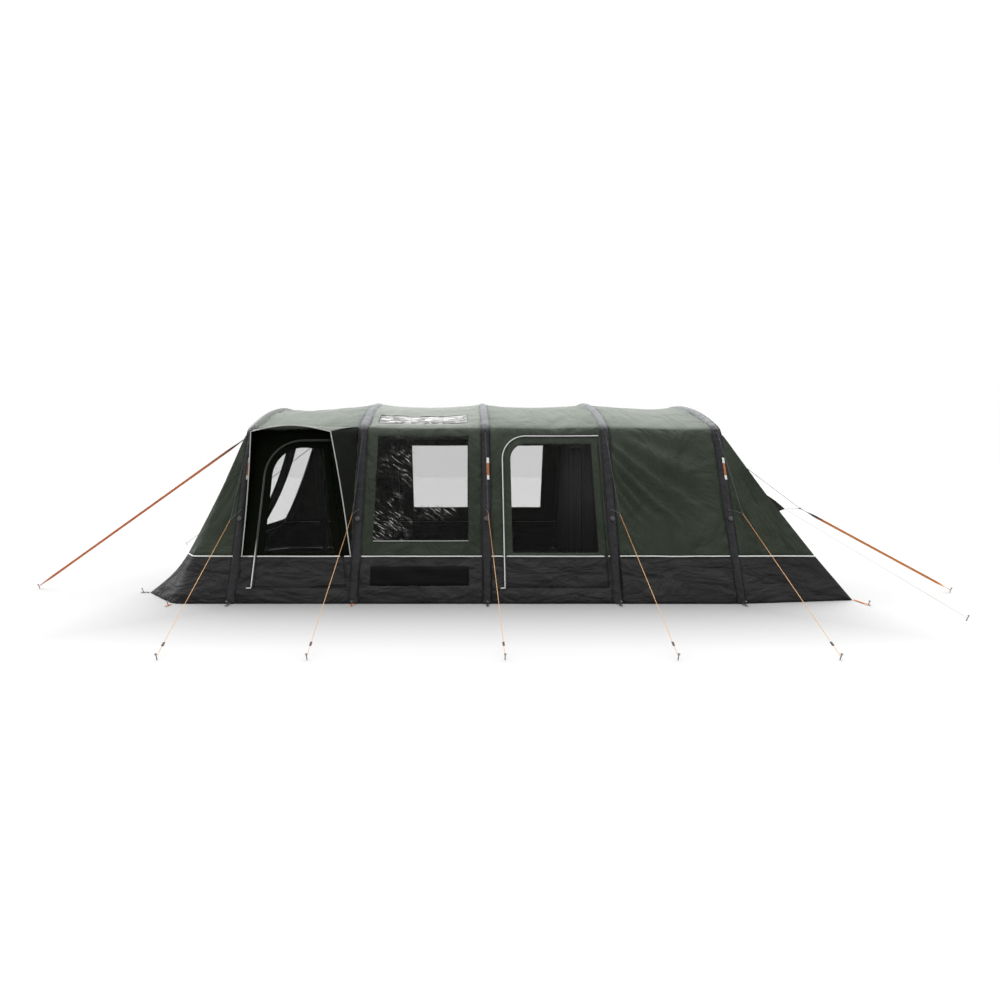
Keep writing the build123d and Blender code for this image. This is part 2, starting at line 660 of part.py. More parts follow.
with BuildPart() as bedroom_shell:
    add(bedroom_volume(BEDROOM_FRONT + 5.0, BEDROOM_INSET, BEDROOM_FLOOR_Z + 6.0))
    add(bedroom_volume(BEDROOM_FRONT, BEDROOM_INSET + FABRIC, BEDROOM_FLOOR_Z), mode=Mode.SUBTRACT)
save(bedroom_shell.part, "bedroom_shell")

with BuildPart() as bedroom_floor:
    add(bedroom_volume(BEDROOM_FRONT, BEDROOM_INSET, BEDROOM_FLOOR_Z))
    split(bisect_by=Plane.XY.offset(BEDROOM_FLOOR_Z + 4.0), keep=Keep.BOTTOM)
save(bedroom_floor.part, "bedroom_floor")

with BuildPart() as bedroom_front:
    with BuildSketch(Plane.YZ.offset(BEDROOM_FRONT)):
        with BuildLine():
            arch_lines(BEDROOM_INSET, foot_z=BEDROOM_FLOOR_Z + 6.0)
            foot = (leg_y(BEDROOM_FLOOR_Z + 6.0, BEDROOM_INSET), BEDROOM_FLOOR_Z + 6.0)
            Line(mirrored(foot), foot)
        make_face()
        add(door_region(*BEDROOM_DOOR), mode=Mode.SUBTRACT)
    extrude(amount=FABRIC)
save(bedroom_front.part, "bedroom_front")

with BuildPart() as bedroom_door:
    with BuildSketch(Plane.YZ.offset(BEDROOM_FRONT)):
        add(door_region(*BEDROOM_DOOR, inset=DOOR_GAP))
    extrude(amount=FABRIC)
save(bedroom_door.part, "bedroom_door")

# ---------------------------------------------------------------- pegs, webbing and lines
def peg_plane(x, y, at_side=None):
    """Plane at a peg's foot. Its Z axis is the peg's, raked away from the tent."""
    if at_side is None:
        at_side = abs(x) < SIDE_PEG_X
    outward = Vector(0, 1, 0) if at_side else Vector(1 if x > 0 else -1, 0, 0)
    if at_side and y < 0:
        outward = -outward
    axis = outward * sin(radians(PEG_RAKE)) + Vector(0, 0, cos(radians(PEG_RAKE)))
    return Plane(origin=(x, y, 0), z_dir=axis)


def peg_top(x, y):
    """The point on a peg's centreline where the line loops over it."""
    plane = peg_plane(x, y)
    return plane.origin + plane.z_dir * (LINE_ON_PEG / plane.z_dir.Z)


def peg(x, y, at_side=None):
    """The part of a peg that stands out of the ground."""
    plane = peg_plane(x, y, at_side)
    with BuildPart() as body:
        with BuildSketch(plane.offset(-10.0)):
            Circle(PEG_RADIUS)
        extrude(amount=PEG_HEIGHT + 10.0)
        with BuildSketch(plane.offset(PEG_HEIGHT)):
            Circle(PEG_HEAD_RADIUS)
        extrude(amount=PEG_HEAD)
        split(bisect_by=Plane.XY, keep=Keep.TOP)
    return body.part


BASE_PEG_OUT = 75.0
FRONT_PEG_OUT = 65.0
REAR_PEG, REAR_LOOP_LENGTH = (REAR_TOE + 16.0, 2105.0), 250.0  # the rear corners' long loops pull sideways
foot_points = [(x, HALF_WIDTH + BASE_PEG_OUT) for x in (FRONT_CORNER, *BEAM_X)]
with BuildPart() as base_pegs:
    for x, y in foot_points:
        add(peg(x, -y))
        add(peg(x, y))
    for side in (-1, 1):
        add(peg(FRONT_TOE - FRONT_PEG_OUT, side * FRONT_TOE_Y))
        add(peg(REAR_PEG[0], side * REAR_PEG[1], at_side=True))
save(base_pegs.part, "base_pegs")


def webbing_loop(x, y, direction, length=96.0):
    """A flat webbing loop that runs out over a base peg, with a slot for the peg."""
    plane = Plane(origin=(x, y, 6.0), x_dir=direction, z_dir=(0, 0, 1))
    with BuildPart() as loop:
        with BuildSketch(plane):
            with Locations((0, 0)):
                SlotOverall(length, 26.0)
            with Locations((length / 2 - 40.0, 0)):
                SlotOverall(60.0, 13.0, mode=Mode.SUBTRACT)
        extrude(amount=2.5)
    return loop.part


with BuildPart(mode=Mode.PRIVATE) as peg_loops:
    for x, y in foot_points:
        add(webbing_loop(x, -y, (0, -1, 0)))
        add(webbing_loop(x, y, (0, 1, 0)))
    for side in (-1, 1):
        add(webbing_loop(FRONT_TOE - FRONT_PEG_OUT + 15.0, side * FRONT_TOE_Y, (-1, 0, 0)))
        rear_loop_y = REAR_PEG[1] + 30.0 - REAR_LOOP_LENGTH / 2
        add(webbing_loop(REAR_PEG[0], side * rear_loop_y, (0, side, 0), REAR_LOOP_LENGTH))

line_peg_points = [(x, PEG_Y) for x in PEG_X] + [REAR_STRAP_PEG, REAR_LINE_PEG]
with BuildPart() as line_pegs:
    for x, y in line_peg_points:
        add(peg(x, -y))
        add(peg(x, y))
    add(peg(FRONT_STRAP_PEG[0], -FRONT_STRAP_PEG[1]))
    add(peg(*FAR_FRONT_STRAP_PEG))
save(line_pegs.part, "line_pegs")


def on_sleeve(x, z, direction=NEAR_NORMAL):
    """Plane on the near side of a sleeve, facing that way. Its Z axis points out of the sleeve."""
    centre = Vector(x, -leg_y(z, BEAM_INSET), z)
    return Plane(origin=centre + direction * (SLEEVE_RADIUS + 0.3), x_dir=direction.cross(LEG_UP), z_dir=direction)


def tab_block(plane):
    with BuildPart() as block:
        with BuildSketch(plane):
            Rectangle(TAB_SIZE[0], TAB_SIZE[1])
        extrude(amount=TAB_SIZE[2])
    return block.part


def tab_face(plane):
    return plane.origin + plane.z_dir * TAB_SIZE[2]


def mirror_y(point):
    return Vector(point.X, -point.Y, point.Z)


upper_tabs = [on_sleeve(x, GUY_TOP_Z) for x in BEAM_X]
lower_tabs = [on_sleeve(x, VALVE_HEIGHT + 95.0) for x in BEAM_X]
front_wall_run = Vector(FRONT_KINK - FRONT_X, 0, MUD_TOP - SHOULDER_Z).normalized()  # down the front wall
front_storm_tab = Plane(
    origin=Vector(FRONT_X, -FRONT_TAB_Y, SHOULDER_Z) + front_wall_run * FRONT_TAB_DOWN + Vector(-0.5, 0, 0),
    x_dir=(0, 1, 0), z_dir=Vector(0, 1, 0).cross(front_wall_run))
rear_wall_run = Vector(REAR_KINK - REAR_X, 0, MUD_TOP - SHOULDER_Z).normalized()
rear_storm_tab = Plane(
    origin=Vector(REAR_X, -REAR_TAB_Y, SHOULDER_Z) + rear_wall_run * REAR_TAB_DOWN + Vector(0.5, 0, 0),
    x_dir=(0, 1, 0), z_dir=Vector(0, 1, 0).cross(rear_wall_run) * -1)
with BuildPart() as webbing_loops:
    add(peg_loops.part)
    for plane in [*upper_tabs, *lower_tabs, front_storm_tab, rear_storm_tab]:
        block = tab_block(plane)
        add(block)
        add(mirror(block, about=Plane.XZ, mode=Mode.PRIVATE))
save(webbing_loops.part, "webbing_loops")

# Each junction stands on the line between its beam and its peg.
junctions = [Vector(x + 0.1 * (px - x), -JUNCTION_Y, z) for x, px, z in zip(BEAM_X, PEG_X, JUNCTION_Z)]
storm_junction = Vector(STORM_JUNCTION[0], -STORM_JUNCTION[1], STORM_JUNCTION[2])
with BuildPart() as line_junctions:
    for point in [*junctions, storm_junction]:
        for place in (point, mirror_y(point)):
            with Locations(place):
                Sphere(JUNCTION_RADIUS)
save(line_junctions.part, "line_junctions")


def line_between(start, end, start_gap, end_gap, radius):
    """A taut line whose ends stand off its two end points."""
    return rod_between(along(start, end, start_gap), along(end, start, end_gap), radius)


def line_from_tab(plane, point, radius):
    """A taut line from a tab's face to a junction, started where its end clears the face."""
    lean = (point - tab_face(plane)).get_angle(plane.z_dir)
    return line_between(tab_face(plane), point, radius * tan(radians(lean)) + 0.1, JUNCTION_RADIUS, radius)


pegs_for_lines = [peg_top(x, -PEG_Y) for x in PEG_X]
with BuildPart() as side_guy_lines:
    for point, top in zip(junctions, pegs_for_lines):
        line = line_between(point, top, JUNCTION_RADIUS, PEG_RADIUS, LINE_RADIUS)
        add(line)
        add(mirror(line, about=Plane.XZ, mode=Mode.PRIVATE))
save(side_guy_lines.part, "side_guy_lines")

with BuildPart() as side_guy_legs:
    for point, upper, lower in zip(junctions, upper_tabs, lower_tabs):
        for plane in (upper, lower):
            leg = line_from_tab(plane, point, LEG_RADIUS)
            add(leg)
            add(mirror(leg, about=Plane.XZ, mode=Mode.PRIVATE))
save(side_guy_legs.part, "side_guy_legs")

hood_corner = Vector(HOOD_TIP_X, -(HOOD_HALF - 2.0), HOOD_TIP_Z)
front_strap_top = peg_top(FRONT_STRAP_PEG[0], -FRONT_STRAP_PEG[1])
rear_strap_top = peg_top(REAR_STRAP_PEG[0], -REAR_STRAP_PEG[1])
rear_line_top = peg_top(REAR_LINE_PEG[0], -REAR_LINE_PEG[1])
with BuildPart() as storm_lines:
    front_start = tab_face(front_storm_tab)
    far_start, far_strap_top = mirror_y(front_start), peg_top(*FAR_FRONT_STRAP_PEG)
    add(strap_between(along(front_start, front_strap_top, 2.0), along(front_strap_top, front_start, PEG_RADIUS)))
    add(strap_between(along(far_start, far_strap_top, 7.0), along(far_strap_top, far_start, PEG_RADIUS)))
    pieces = [strap_between(along(storm_junction, rear_strap_top, JUNCTION_RADIUS),
                            along(rear_strap_top, storm_junction, PEG_RADIUS))]
    pieces.append(line_from_tab(rear_storm_tab, storm_junction, LINE_RADIUS))
    pieces.append(line_between(hood_corner, storm_junction, 4.0, JUNCTION_RADIUS, LEG_RADIUS))
    pieces.append(line_between(hood_corner, rear_line_top, 8.0, PEG_RADIUS, LEG_RADIUS))
    for piece in pieces:
        add(piece)
        add(mirror(piece, about=Plane.XZ, mode=Mode.PRIVATE))
save(storm_lines.part, "storm_lines")

# ---------------------------------------------------------------- line runners
for number, (point, top) in enumerate(zip(junctions, pegs_for_lines), start=1):
    up_line = (point - top).normalized()
    level = up_line.cross(Vector(0, 0, 1)).normalized()
    start = top + up_line * RUNNER_FROM_PEG
    with BuildPart() as runner:
        with BuildSketch(Plane(origin=start, x_dir=level, z_dir=up_line)):
            RectangleRounded(RUNNER_WIDTH, RUNNER_THICK, 3.0)
            Circle(LINE_RADIUS + RUNNER_CLEARANCE, mode=Mode.SUBTRACT)
        extrude(amount=RUNNER_LENGTH)
    save(runner.part, f"line_runner_near_{number}")
    save(mirror(runner.part, about=Plane.XZ), f"line_runner_far_{number}")
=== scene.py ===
"""Inflatable tunnel tent: the soft parts, the lines and the looks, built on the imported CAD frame.

Metres, in the CAD's frame: +X towards the rear, -Y the side with the doors, +Z up. On the tunnel, s is the distance round
the arch from its near foot.
"""

from math import asin, atan2, ceil, cos, exp, hypot, pi, radians, sin, sqrt, tan

import bpy
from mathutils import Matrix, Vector, noise
from mathutils.geometry import delaunay_2d_cdt


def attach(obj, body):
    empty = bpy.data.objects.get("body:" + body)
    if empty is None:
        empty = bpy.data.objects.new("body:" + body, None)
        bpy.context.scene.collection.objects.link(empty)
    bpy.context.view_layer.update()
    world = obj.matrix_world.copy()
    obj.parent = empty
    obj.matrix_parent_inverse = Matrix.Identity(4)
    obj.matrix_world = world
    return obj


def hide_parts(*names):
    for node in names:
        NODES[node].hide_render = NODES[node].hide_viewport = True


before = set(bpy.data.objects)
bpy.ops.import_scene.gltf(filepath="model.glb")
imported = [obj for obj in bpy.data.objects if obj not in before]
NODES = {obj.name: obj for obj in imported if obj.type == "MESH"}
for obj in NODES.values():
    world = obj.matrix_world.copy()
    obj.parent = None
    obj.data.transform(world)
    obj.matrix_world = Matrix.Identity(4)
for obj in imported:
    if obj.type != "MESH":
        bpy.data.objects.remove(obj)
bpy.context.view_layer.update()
COLLECTION = bpy.context.scene.collection

# ------------------------------------------------------------------ camera
cam_data = bpy.data.cameras.new("camera")
cam_data.sensor_width = 36.0
cam_data.lens = 21.76
cam_data.shift_x = 0.035
cam_data.shift_y = -0.0346
camera = bpy.data.objects.new("camera", cam_data)
camera.location = (-0.188, -8.002, 1.364)
camera.rotation_euler = (radians(90), 0, 0)
COLLECTION.objects.link(camera)
bpy.context.scene.camera = camera

# ------------------------------------------------------------------ dimensions, as in the CAD
HALF_WIDTH, RIDGE, LEAN = 2.05, 2.15, radians(19.2)
ROOF_R, SHOULDER_R = 2.9, 0.2
BEAM_X = (-2.5, -1.288, 0.032, 1.326, 2.536)
BEAM_INSET, SLEEVE_R, EDGE, END_EDGE = 0.035, 0.055, 0.05, 0.061
MUD_TOP, SILL = 0.445, 0.146
FRONT_X, REAR_X = BEAM_X[0] - END_EDGE, BEAM_X[-1] + END_EDGE
FRONT_TOE, FRONT_TOE_Y, FRONT_KINK, FRONT_KINK_Y, FRONT_CORNER = -3.56, 1.53, -3.08, 1.68, -3.073
REAR_TOE, REAR_TOE_Y, REAR_KINK, REAR_KINK_Y = 3.73, 1.89, 3.355, 1.88
SIDE_DOOR = (0.213, 1.248, 1.248, SILL, 1.68, 0.25)
PORCH_DOOR = (-2.31, -1.366, -1.64, SILL, 1.64, 0.38)
BEDROOM_DOOR = (-0.33, 0.62, 0.62, 0.14, 1.6, 0.25)
DOOR_GAP, DOOR_FRAME, WINDOW_SILL = 0.004, 0.08, 0.48
SIDE_WINDOW = (-1.125, -0.155, 0.594, 1.68)
LOW_VENT = (-1.13, -0.15, 0.165, 0.343)
FAR_WINDOWS = ((-1.015, -0.148, 0.69, 1.675), (0.163, 1.03, 0.69, 1.675))
FRONT_WINDOWS = ((-1.31, -0.23, 0.555, 1.625), (0.18, 1.31, 0.555, 1.625))
ROOF_LIGHT_X, ROOF_LIGHT_Y = (-1.15, -0.165), (1.04, 1.32)
PEG_X, PEG_Y, PEG_TIE = (-2.349, -1.297, 0.093, 1.307, 2.444), 3.76, 0.024
JUNCTION_Y, JUNCTION_Z = 2.09, (0.83, 0.895, 0.895, 0.895, 0.895)
FRONT_TAB, REAR_TAB = (1.436, 0.065), (1.55, 0.446)  # half span, and distance down the slope from the shoulders
GUY_TOP_Z, GUY_LOW_Z = 1.69, 0.89
HOOD_HALF, HOOD_TOP_Z, HOOD_TIP = 1.64, 1.05, (3.18, 0.905)
STORM_RING = (3.332, 1.65, 0.912)
FRONT_STRAP_PEG, REAR_STRAP_PEG, REAR_LINE_PEG = (-4.901, 1.3), (5.025, 1.5), (4.209, 2.7)
FAR_FRONT_STRAP_PEG = (-4.95, 2.36)
BEDROOM_X, BEDROOM_INSET = 1.3, 0.13
REAR_VENT = (-1.5, 1.5, 0.91, 1.02)  # in Y and Z, under the hood
CLOTH = 0.0012  # thickness of the cloth
SEW = 0.004  # how far a sewn edge goes past its opening, or stands short of its corner
CREASE_SHIFT = 20  # the far mud walls take their creases from this far along, so that the sides differ

COSL, SINL, TANL = cos(LEAN), sin(LEAN), tan(LEAN)


def leg_y(z, inset=0.0):
    return HALF_WIDTH - inset / COSL - z * TANL


# ------------------------------------------------------------------ the arch's line
def _corner():
    """Where the leg and the roof, both moved in by the shoulder radius, cross."""
    foot, centre, radius = leg_y(0, SHOULDER_R), RIDGE - ROOF_R, ROOF_R - SHOULDER_R
    half_b = foot * TANL + centre
    c = foot**2 + centre**2 - radius**2
    z = (half_b + sqrt(half_b**2 - (1 + TANL**2) * c)) / (1 + TANL**2)
    return foot - TANL * z, z


CORNER_Y, CORNER_Z = _corner()
SHOULDER_Z = CORNER_Z + SHOULDER_R * SINL
SHOULDER_Y = CORNER_Y + SHOULDER_R * COSL
ROOF_CENTRE_Z = RIDGE - ROOF_R
ROOF_HALF = atan2(CORNER_Y, CORNER_Z - ROOF_CENTRE_Z)  # half of the roof's angle
LEG_LEN = SHOULDER_Z / COSL
TURN = pi / 2 - LEAN - ROOF_HALF  # the shoulder's angle
SHOULDER_LEN = SHOULDER_R * TURN
ROOF_LEN = ROOF_R * 2 * ROOF_HALF
GIRTH = 2 * (LEG_LEN + SHOULDER_LEN) + ROOF_LEN


def arch(s):
    """(y, z, outward y, outward z) at arc length s from the near foot."""
    if s > GIRTH / 2:
        y, z, ny, nz = arch(GIRTH - s)
        return -y, z, -ny, nz
    if s < LEG_LEN:
        return -HALF_WIDTH + s * SINL, s * COSL, -COSL, SINL
    s -= LEG_LEN
    if s < SHOULDER_LEN:
        a = LEAN + s / SHOULDER_R
        return -CORNER_Y - SHOULDER_R * cos(a), CORNER_Z + SHOULDER_R * sin(a), -cos(a), sin(a)
    a = ROOF_HALF - (s - SHOULDER_LEN) / ROOF_R
    return -ROOF_R * sin(a), ROOF_CENTRE_Z + ROOF_R * cos(a), -sin(a), cos(a)


def mix(a, b, t):
    return a + (b - a) * t


def step01(t):
    """0 below 0 and 1 above 1, with a smooth rise between."""
    t = min(1.0, max(0.0, t))
    return t * t * (3 - 2 * t)


def end_drop(x, z):
    """How much lower the roof stands at the two end beams, which the end walls pull down."""
    front = step01((-1.5 - x) / 1.0) * 0.06
    rear = step01((x - 1.6) / 0.9) * 0.035
    return (front + rear) * step01((z - 1.55) / 0.5)


def bay_of(x):
    for a, b in zip(BEAM_X, BEAM_X[1:]):
        if a <= x <= b:
            return a, b
    return None


def ridge_noise(p):
    """Creases: narrow ridges between flatter areas, from -1 to 1."""
    return 1 - 2 * abs(noise.noise(p))


def hinge_x(door, z):
    """X of a door's hinge line at height z."""
    return door[1] + (door[2] - door[1]) * (z - door[3]) / (door[4] - door[3])


def calm(x, s):
    """1 away from the doors' edges and 0 on them, so that the doors can turn clear of the walls."""
    k = 1.0
    if s < LEG_LEN:
        for door in (SIDE_DOOR, PORCH_DOOR):
            hinge = hinge_x(door, s * COSL)
            gaps = [abs(x - hinge), abs(x - door[0])]
            if door[0] < x < hinge:
                gaps += [abs(s * COSL - door[4]), abs(s * COSL - door[3])]
            for gap in gaps:
                k *= step01((gap - 0.014) / 0.05)
    return k


def fly_wrinkle(x, s):
    """Small shape of the stretched cloth: diagonal pulls on the walls, cross-creases by the beams."""
    bay = bay_of(x)
    if bay is None:
        return 0.0
    width = bay[1] - bay[0]
    t = (x - bay[0]) / width
    side = min(s, GIRTH - s)
    key = 3.1 if s < GIRTH / 2 else 8.4
    w = 0.007 * ridge_noise(Vector((x * 1.1 + side * 0.7, x * 2.8 - side * 2.4, key)))
    edge = exp(-(((t * width - 0.05) / 0.12) ** 2)) + exp(-((((1 - t) * width - 0.05) / 0.12) ** 2))
    w += 0.011 * edge * noise.noise(Vector((x * 3, side * 17 + abs(t - 0.5) * 5, key + 1.7)))
    eave = exp(-(((side - LEG_LEN + 0.06) / 0.1) ** 2))
    w += 0.004 * eave * noise.noise(Vector((x * 11 + side * 8, side * 3, key)))
    if bay[0] > 1.0 and side < LEG_LEN:
        fan = x - bay[0] + 0.35
        drape = sin((LEG_LEN - side + 0.2) / fan * 17 + 2.2 * noise.noise(Vector((x * 1.3, s * 1.3, 0.3))))
        fades = step01((side - 0.75) / 0.35) * step01((LEG_LEN - side) / 0.2) * step01((1 - t) / 0.35) * step01(t / 0.15)
        w += 0.022 * drape * fades
        fold = ridge_noise(Vector((x * 2.0 + side * 1.5, x * 3.5 - side * 3.5, 11.0)))
        w += 0.01 * fold * step01((1.0 - side) / 0.4)
    return w * calm(x, s)


def fly(x, s, out=0.0, wrinkle=1.0):
    """Point on the flysheet over the tunnel. out moves it off the cloth."""
    y, z, ny, nz = arch(s)
    sag = 0.0
    bay = bay_of(x)
    if bay is not None:
        t = (x - bay[0]) / (bay[1] - bay[0])
        side = min(s, GIRTH - s)
        if side > LEG_LEN + SHOULDER_LEN * 0.5:
            depth = 0.012 + 0.03 * step01((side - LEG_LEN) / 0.7)
        else:
            depth = 0.012 * step01(side / 0.6)
        sag = depth * 4 * t * (1 - t)
    off = out - sag + wrinkle * fly_wrinkle(x, s)
    return Vector((x, y + ny * off, z + nz * off - end_drop(x, z)))


# ------------------------------------------------------------------ materials
def put(n, **values):
    """Sets a node's inputs, named with _ for a space, and its other settings. An input given a socket is linked to it."""
    for key, value in values.items():
        slot = n.inputs.get(key.replace("_", " "))
        if slot is None:
            setattr(n, key, value)
        elif isinstance(value, bpy.types.NodeSocket):
            n.id_data.links.new(value, slot)
        else:
            slot.default_value = value
    return n


def add(nt, kind, **values):
    return put(nt.nodes.new("ShaderNode" + kind), **values)


def maths(nt, operation, *values):
    n = add(nt, "Math", operation=operation)
    for slot, value in zip(n.inputs, values):
        if isinstance(value, bpy.types.NodeSocket):
            nt.links.new(value, slot)
        else:
            slot.default_value = value
    return n.outputs[0]


def remap(nt, value, low=0.0, high=1.0, to_low=0.0, to_high=1.0):
    """The value that runs from low to high, as one that runs from to_low to to_high."""
    return add(nt, "MapRange", Value=value, From_Min=low, From_Max=high, To_Min=to_low, To_Max=to_high).outputs["Result"]


def two_tone(nt, value, low, high, ends=(0.0, 1.0)):
    """The colour low where value is under the first end, and high where it is over the second."""
    ramp = add(nt, "ValToRGB", Fac=value)
    for element, position, colour in zip(ramp.color_ramp.elements, ends, (low, high)):
        element.position, element.color = position, (*colour, 1)
    return ramp.outputs["Color"]


def tinted(nt, colour, factor, other):
    return add(nt, "Mix", data_type="RGBA", Factor=factor, A=colour, B=(*other, 1)).outputs["Result"]


def bump(nt, height, strength, distance):
    return add(nt, "Bump", Height=height, Strength=strength, Distance=distance)


def new_material(name, colour, rough, **values):
    """A material, its node tree, its shader, and the object's own coordinates as a socket."""
    m = bpy.data.materials.new(name)
    m.use_nodes = True
    nt = m.node_tree
    b = put(nt.nodes["Principled BSDF"], Base_Color=(*colour, 1), Roughness=rough, **values)
    return m, nt, b, add(nt, "TexCoord").outputs["Object"]


def cloth_material(name, low, high, rough=0.62, weave=420.0, crease=0.35, crease_scale=2.2, stretch=(1, 1, 1), upper=None,
                   upper_z=(1.68, 1.86), fine=0.12, gloss=0.17, depth=0.06):
    """Woven cloth: mottled colour, soft creases, and a fine plain weave. upper is the colour above a height: painted
    light where it is paler, painted shade where it is darker.
    """
    m, nt, b, at = new_material(name, low, rough, Specular_IOR_Level=gloss)
    stretched = add(nt, "Mapping", Vector=at, Scale=stretch).outputs[0]
    mottle = add(nt, "TexNoise", Vector=stretched, Scale=3.1, Detail=6.0, Roughness=0.6).outputs["Fac"]
    colour = two_tone(nt, mottle, low, high, (0.32, 0.68))
    # painted light or painted shade: the upper colour above a height stands in for how the light falls
    if upper:
        colour = tinted(nt, colour, remap(nt, add(nt, "SeparateXYZ", Vector=at).outputs["Z"], *upper_z), upper)
    folds = add(nt, "TexNoise", Vector=stretched, Scale=crease_scale, Detail=5.0, Roughness=0.55, Distortion=0.6)
    creases = bump(nt, folds.outputs["Fac"], crease, depth)
    warp, weft = [add(nt, "TexWave", Vector=at, Scale=weave, Distortion=0.4, bands_direction=axis).outputs["Fac"]
                  for axis in "XZ"]
    threads = put(bump(nt, maths(nt, "MULTIPLY", warp, weft), fine, 0.0006), Normal=creases.outputs["Normal"])
    put(b, Base_Color=colour, Normal=threads.outputs["Normal"],
        Roughness=remap(nt, mottle, to_low=rough - 0.08, to_high=rough + 0.1))
    return m


def film_material(name, alpha, streaks=0.0, level=False, plain=None):
    """Clear soft window film. streaks is how strongly the painted highlights along its creases show, slanting or level.
    plain is the X and the Z beyond which a corner has no painted highlights."""
    dark = (0.012, 0.013, 0.012)
    m, nt, b, at = new_material(name, dark, 0.12, Alpha=alpha, Specular_IOR_Level=0.25)
    fold = add(nt, "TexNoise", Vector=at, Scale=7.0, Detail=4.0, Roughness=0.5, Distortion=1.2).outputs["Fac"]
    put(b, Normal=bump(nt, fold, 0.5, 0.02).outputs["Normal"], Roughness=remap(nt, fold, to_low=0.08, to_high=0.25))
    if not streaks:
        return m
    turned = add(nt, "Mapping", Vector=at, Rotation=(0, 0 if level else radians(-34), 0)).outputs[0]
    stretched = add(nt, "Mapping", Vector=turned, Scale=(7, 30, 60) if level else (8, 16, 70)).outputs[0]
    lines = add(nt, "TexNoise", Vector=stretched, Scale=1.0, Detail=3.0, Roughness=0.6, Distortion=0.9).outputs["Fac"]
    patch = add(nt, "TexNoise", Vector=at, Scale=3.0, Detail=2.0, Roughness=0.5).outputs["Fac"]
    # painted highlights: pale streaks in the film's colour and opacity along its creases
    glint = maths(nt, "MULTIPLY", remap(nt, lines, *((0.5, 0.58) if level else (0.56, 0.66))),
                  remap(nt, patch, *((0.3, 0.45) if level else (0.4, 0.6))))
    if plain:
        split = add(nt, "SeparateXYZ", Vector=at).outputs
        ends = [remap(nt, split[axis], end + 0.03, end - 0.03) for axis, end in zip("XZ", plain)]
        glint = maths(nt, "MULTIPLY", glint, maths(nt, "MAXIMUM", *ends))
    part = maths(nt, "MULTIPLY", glint, streaks)
    put(b, Base_Color=tinted(nt, (*dark, 1), part, (0.62, 0.63, 0.6)), Alpha=remap(nt, part, to_low=alpha, to_high=0.9))
    return m


def net_material(name, colour, alpha):
    m, nt, b, at = new_material(name, colour, 0.8, Alpha=alpha, Specular_IOR_Level=0.08)
    cells = add(nt, "TexVoronoi", Vector=at, Scale=260.0).outputs["Distance"]
    put(b, Normal=bump(nt, cells, 0.5, 0.001).outputs["Normal"])
    return m


def moulded_material(name, colour, rough=0.45, metallic=0.0):
    """Moulded plastic or bare metal, with a fine grain and worn patches."""
    m, nt, b, at = new_material(name, colour, rough, Metallic=metallic)
    grit = add(nt, "TexNoise", Vector=at, Scale=160.0, Detail=3.0).outputs["Fac"]
    worn = add(nt, "TexNoise", Vector=at, Scale=22.0, Detail=2.0).outputs["Fac"]
    put(b, Normal=bump(nt, grit, 0.15, 0.0008).outputs["Normal"],
        Base_Color=two_tone(nt, worn, [c * 0.85 for c in colour], [min(1, c * 1.2) for c in colour]))
    return m


def braid_material(name, low, high, scale=90.0, axis="DIAGONAL", tints=()):
    """Braided cord or woven webbing: slanting stitches in two tones. Each tint is its ramps, as (axis, start, end), and the
    colour where all of them have risen."""
    m, nt, b, at = new_material(name, low, 0.75, Sheen_Weight=0.2, Sheen_Roughness=0.5)
    wave = add(nt, "TexWave", Vector=at, Scale=scale, Distortion=0.5, bands_direction=axis).outputs["Fac"]
    colour = two_tone(nt, wave, low, high, (0.35, 0.65))
    split = add(nt, "SeparateXYZ", Vector=at).outputs
    for ramps, other in tints:
        factor, *more = [remap(nt, split[along], start, end) for along, start, end in ramps]
        for extra in more:
            factor = maths(nt, "MULTIPLY", factor, extra)
        colour = tinted(nt, colour, factor, other)
    put(b, Base_Color=colour, Normal=bump(nt, wave, 0.4, 0.001).outputs["Normal"])
    return m


UPRIGHT, LEVEL = (1, 1, 0.6), (1.4, 0.5, 1)  # how the cloth's patterns are stretched
# painted light: the fly's green turns paler from 1.3 m up to the shoulders, as if lit from above
GREEN = cloth_material("fly_green", (0.0225, 0.03, 0.0205), (0.032, 0.041, 0.028), stretch=UPRIGHT, crease=0.9, depth=0.2,
                       upper=(0.043, 0.053, 0.04), upper_z=(1.3, 1.8))
# painted shade: a much darker copy of the fly's green for the porch hood's rear side
GUSSET_SHADE = cloth_material("fly_green_gusset_painted_shade", (0.0035, 0.0045, 0.003), (0.006, 0.008, 0.0055), stretch=UPRIGHT, crease=0.8,
                        gloss=0.08)
# painted shade: a near-black copy of the fly's green for the cloth under the porch hood, the porch door and the hood's
# front side
SHADE = cloth_material("fly_green_painted_shade", (0.002, 0.003, 0.0015), (0.004, 0.0055, 0.003), stretch=UPRIGHT, gloss=0.02)
# painted light: the roof is a paler copy of the fly's green, standing in for light from above and sheen at grazing
# angles; the second bay's roof is paler still
ROOF = cloth_material("fly_roof_painted_light", (0.096, 0.115, 0.092), (0.129, 0.151, 0.125), rough=0.6, crease=0.6, stretch=LEVEL,
                      gloss=0.22, depth=0.1)
ROOF_BRIGHTER_LIGHT = cloth_material("fly_roof_painted_brighter_light", (0.13, 0.15, 0.125), (0.167, 0.187, 0.16), rough=0.6, crease=0.6, stretch=LEVEL,
                           gloss=0.3, depth=0.1)
MUD = cloth_material("mud_wall_charcoal", (0.0178, 0.0176, 0.0183), (0.03, 0.0295, 0.031), crease=1.0, depth=0.19,
                     crease_scale=2.6, stretch=(0.7, 1, 1.9))
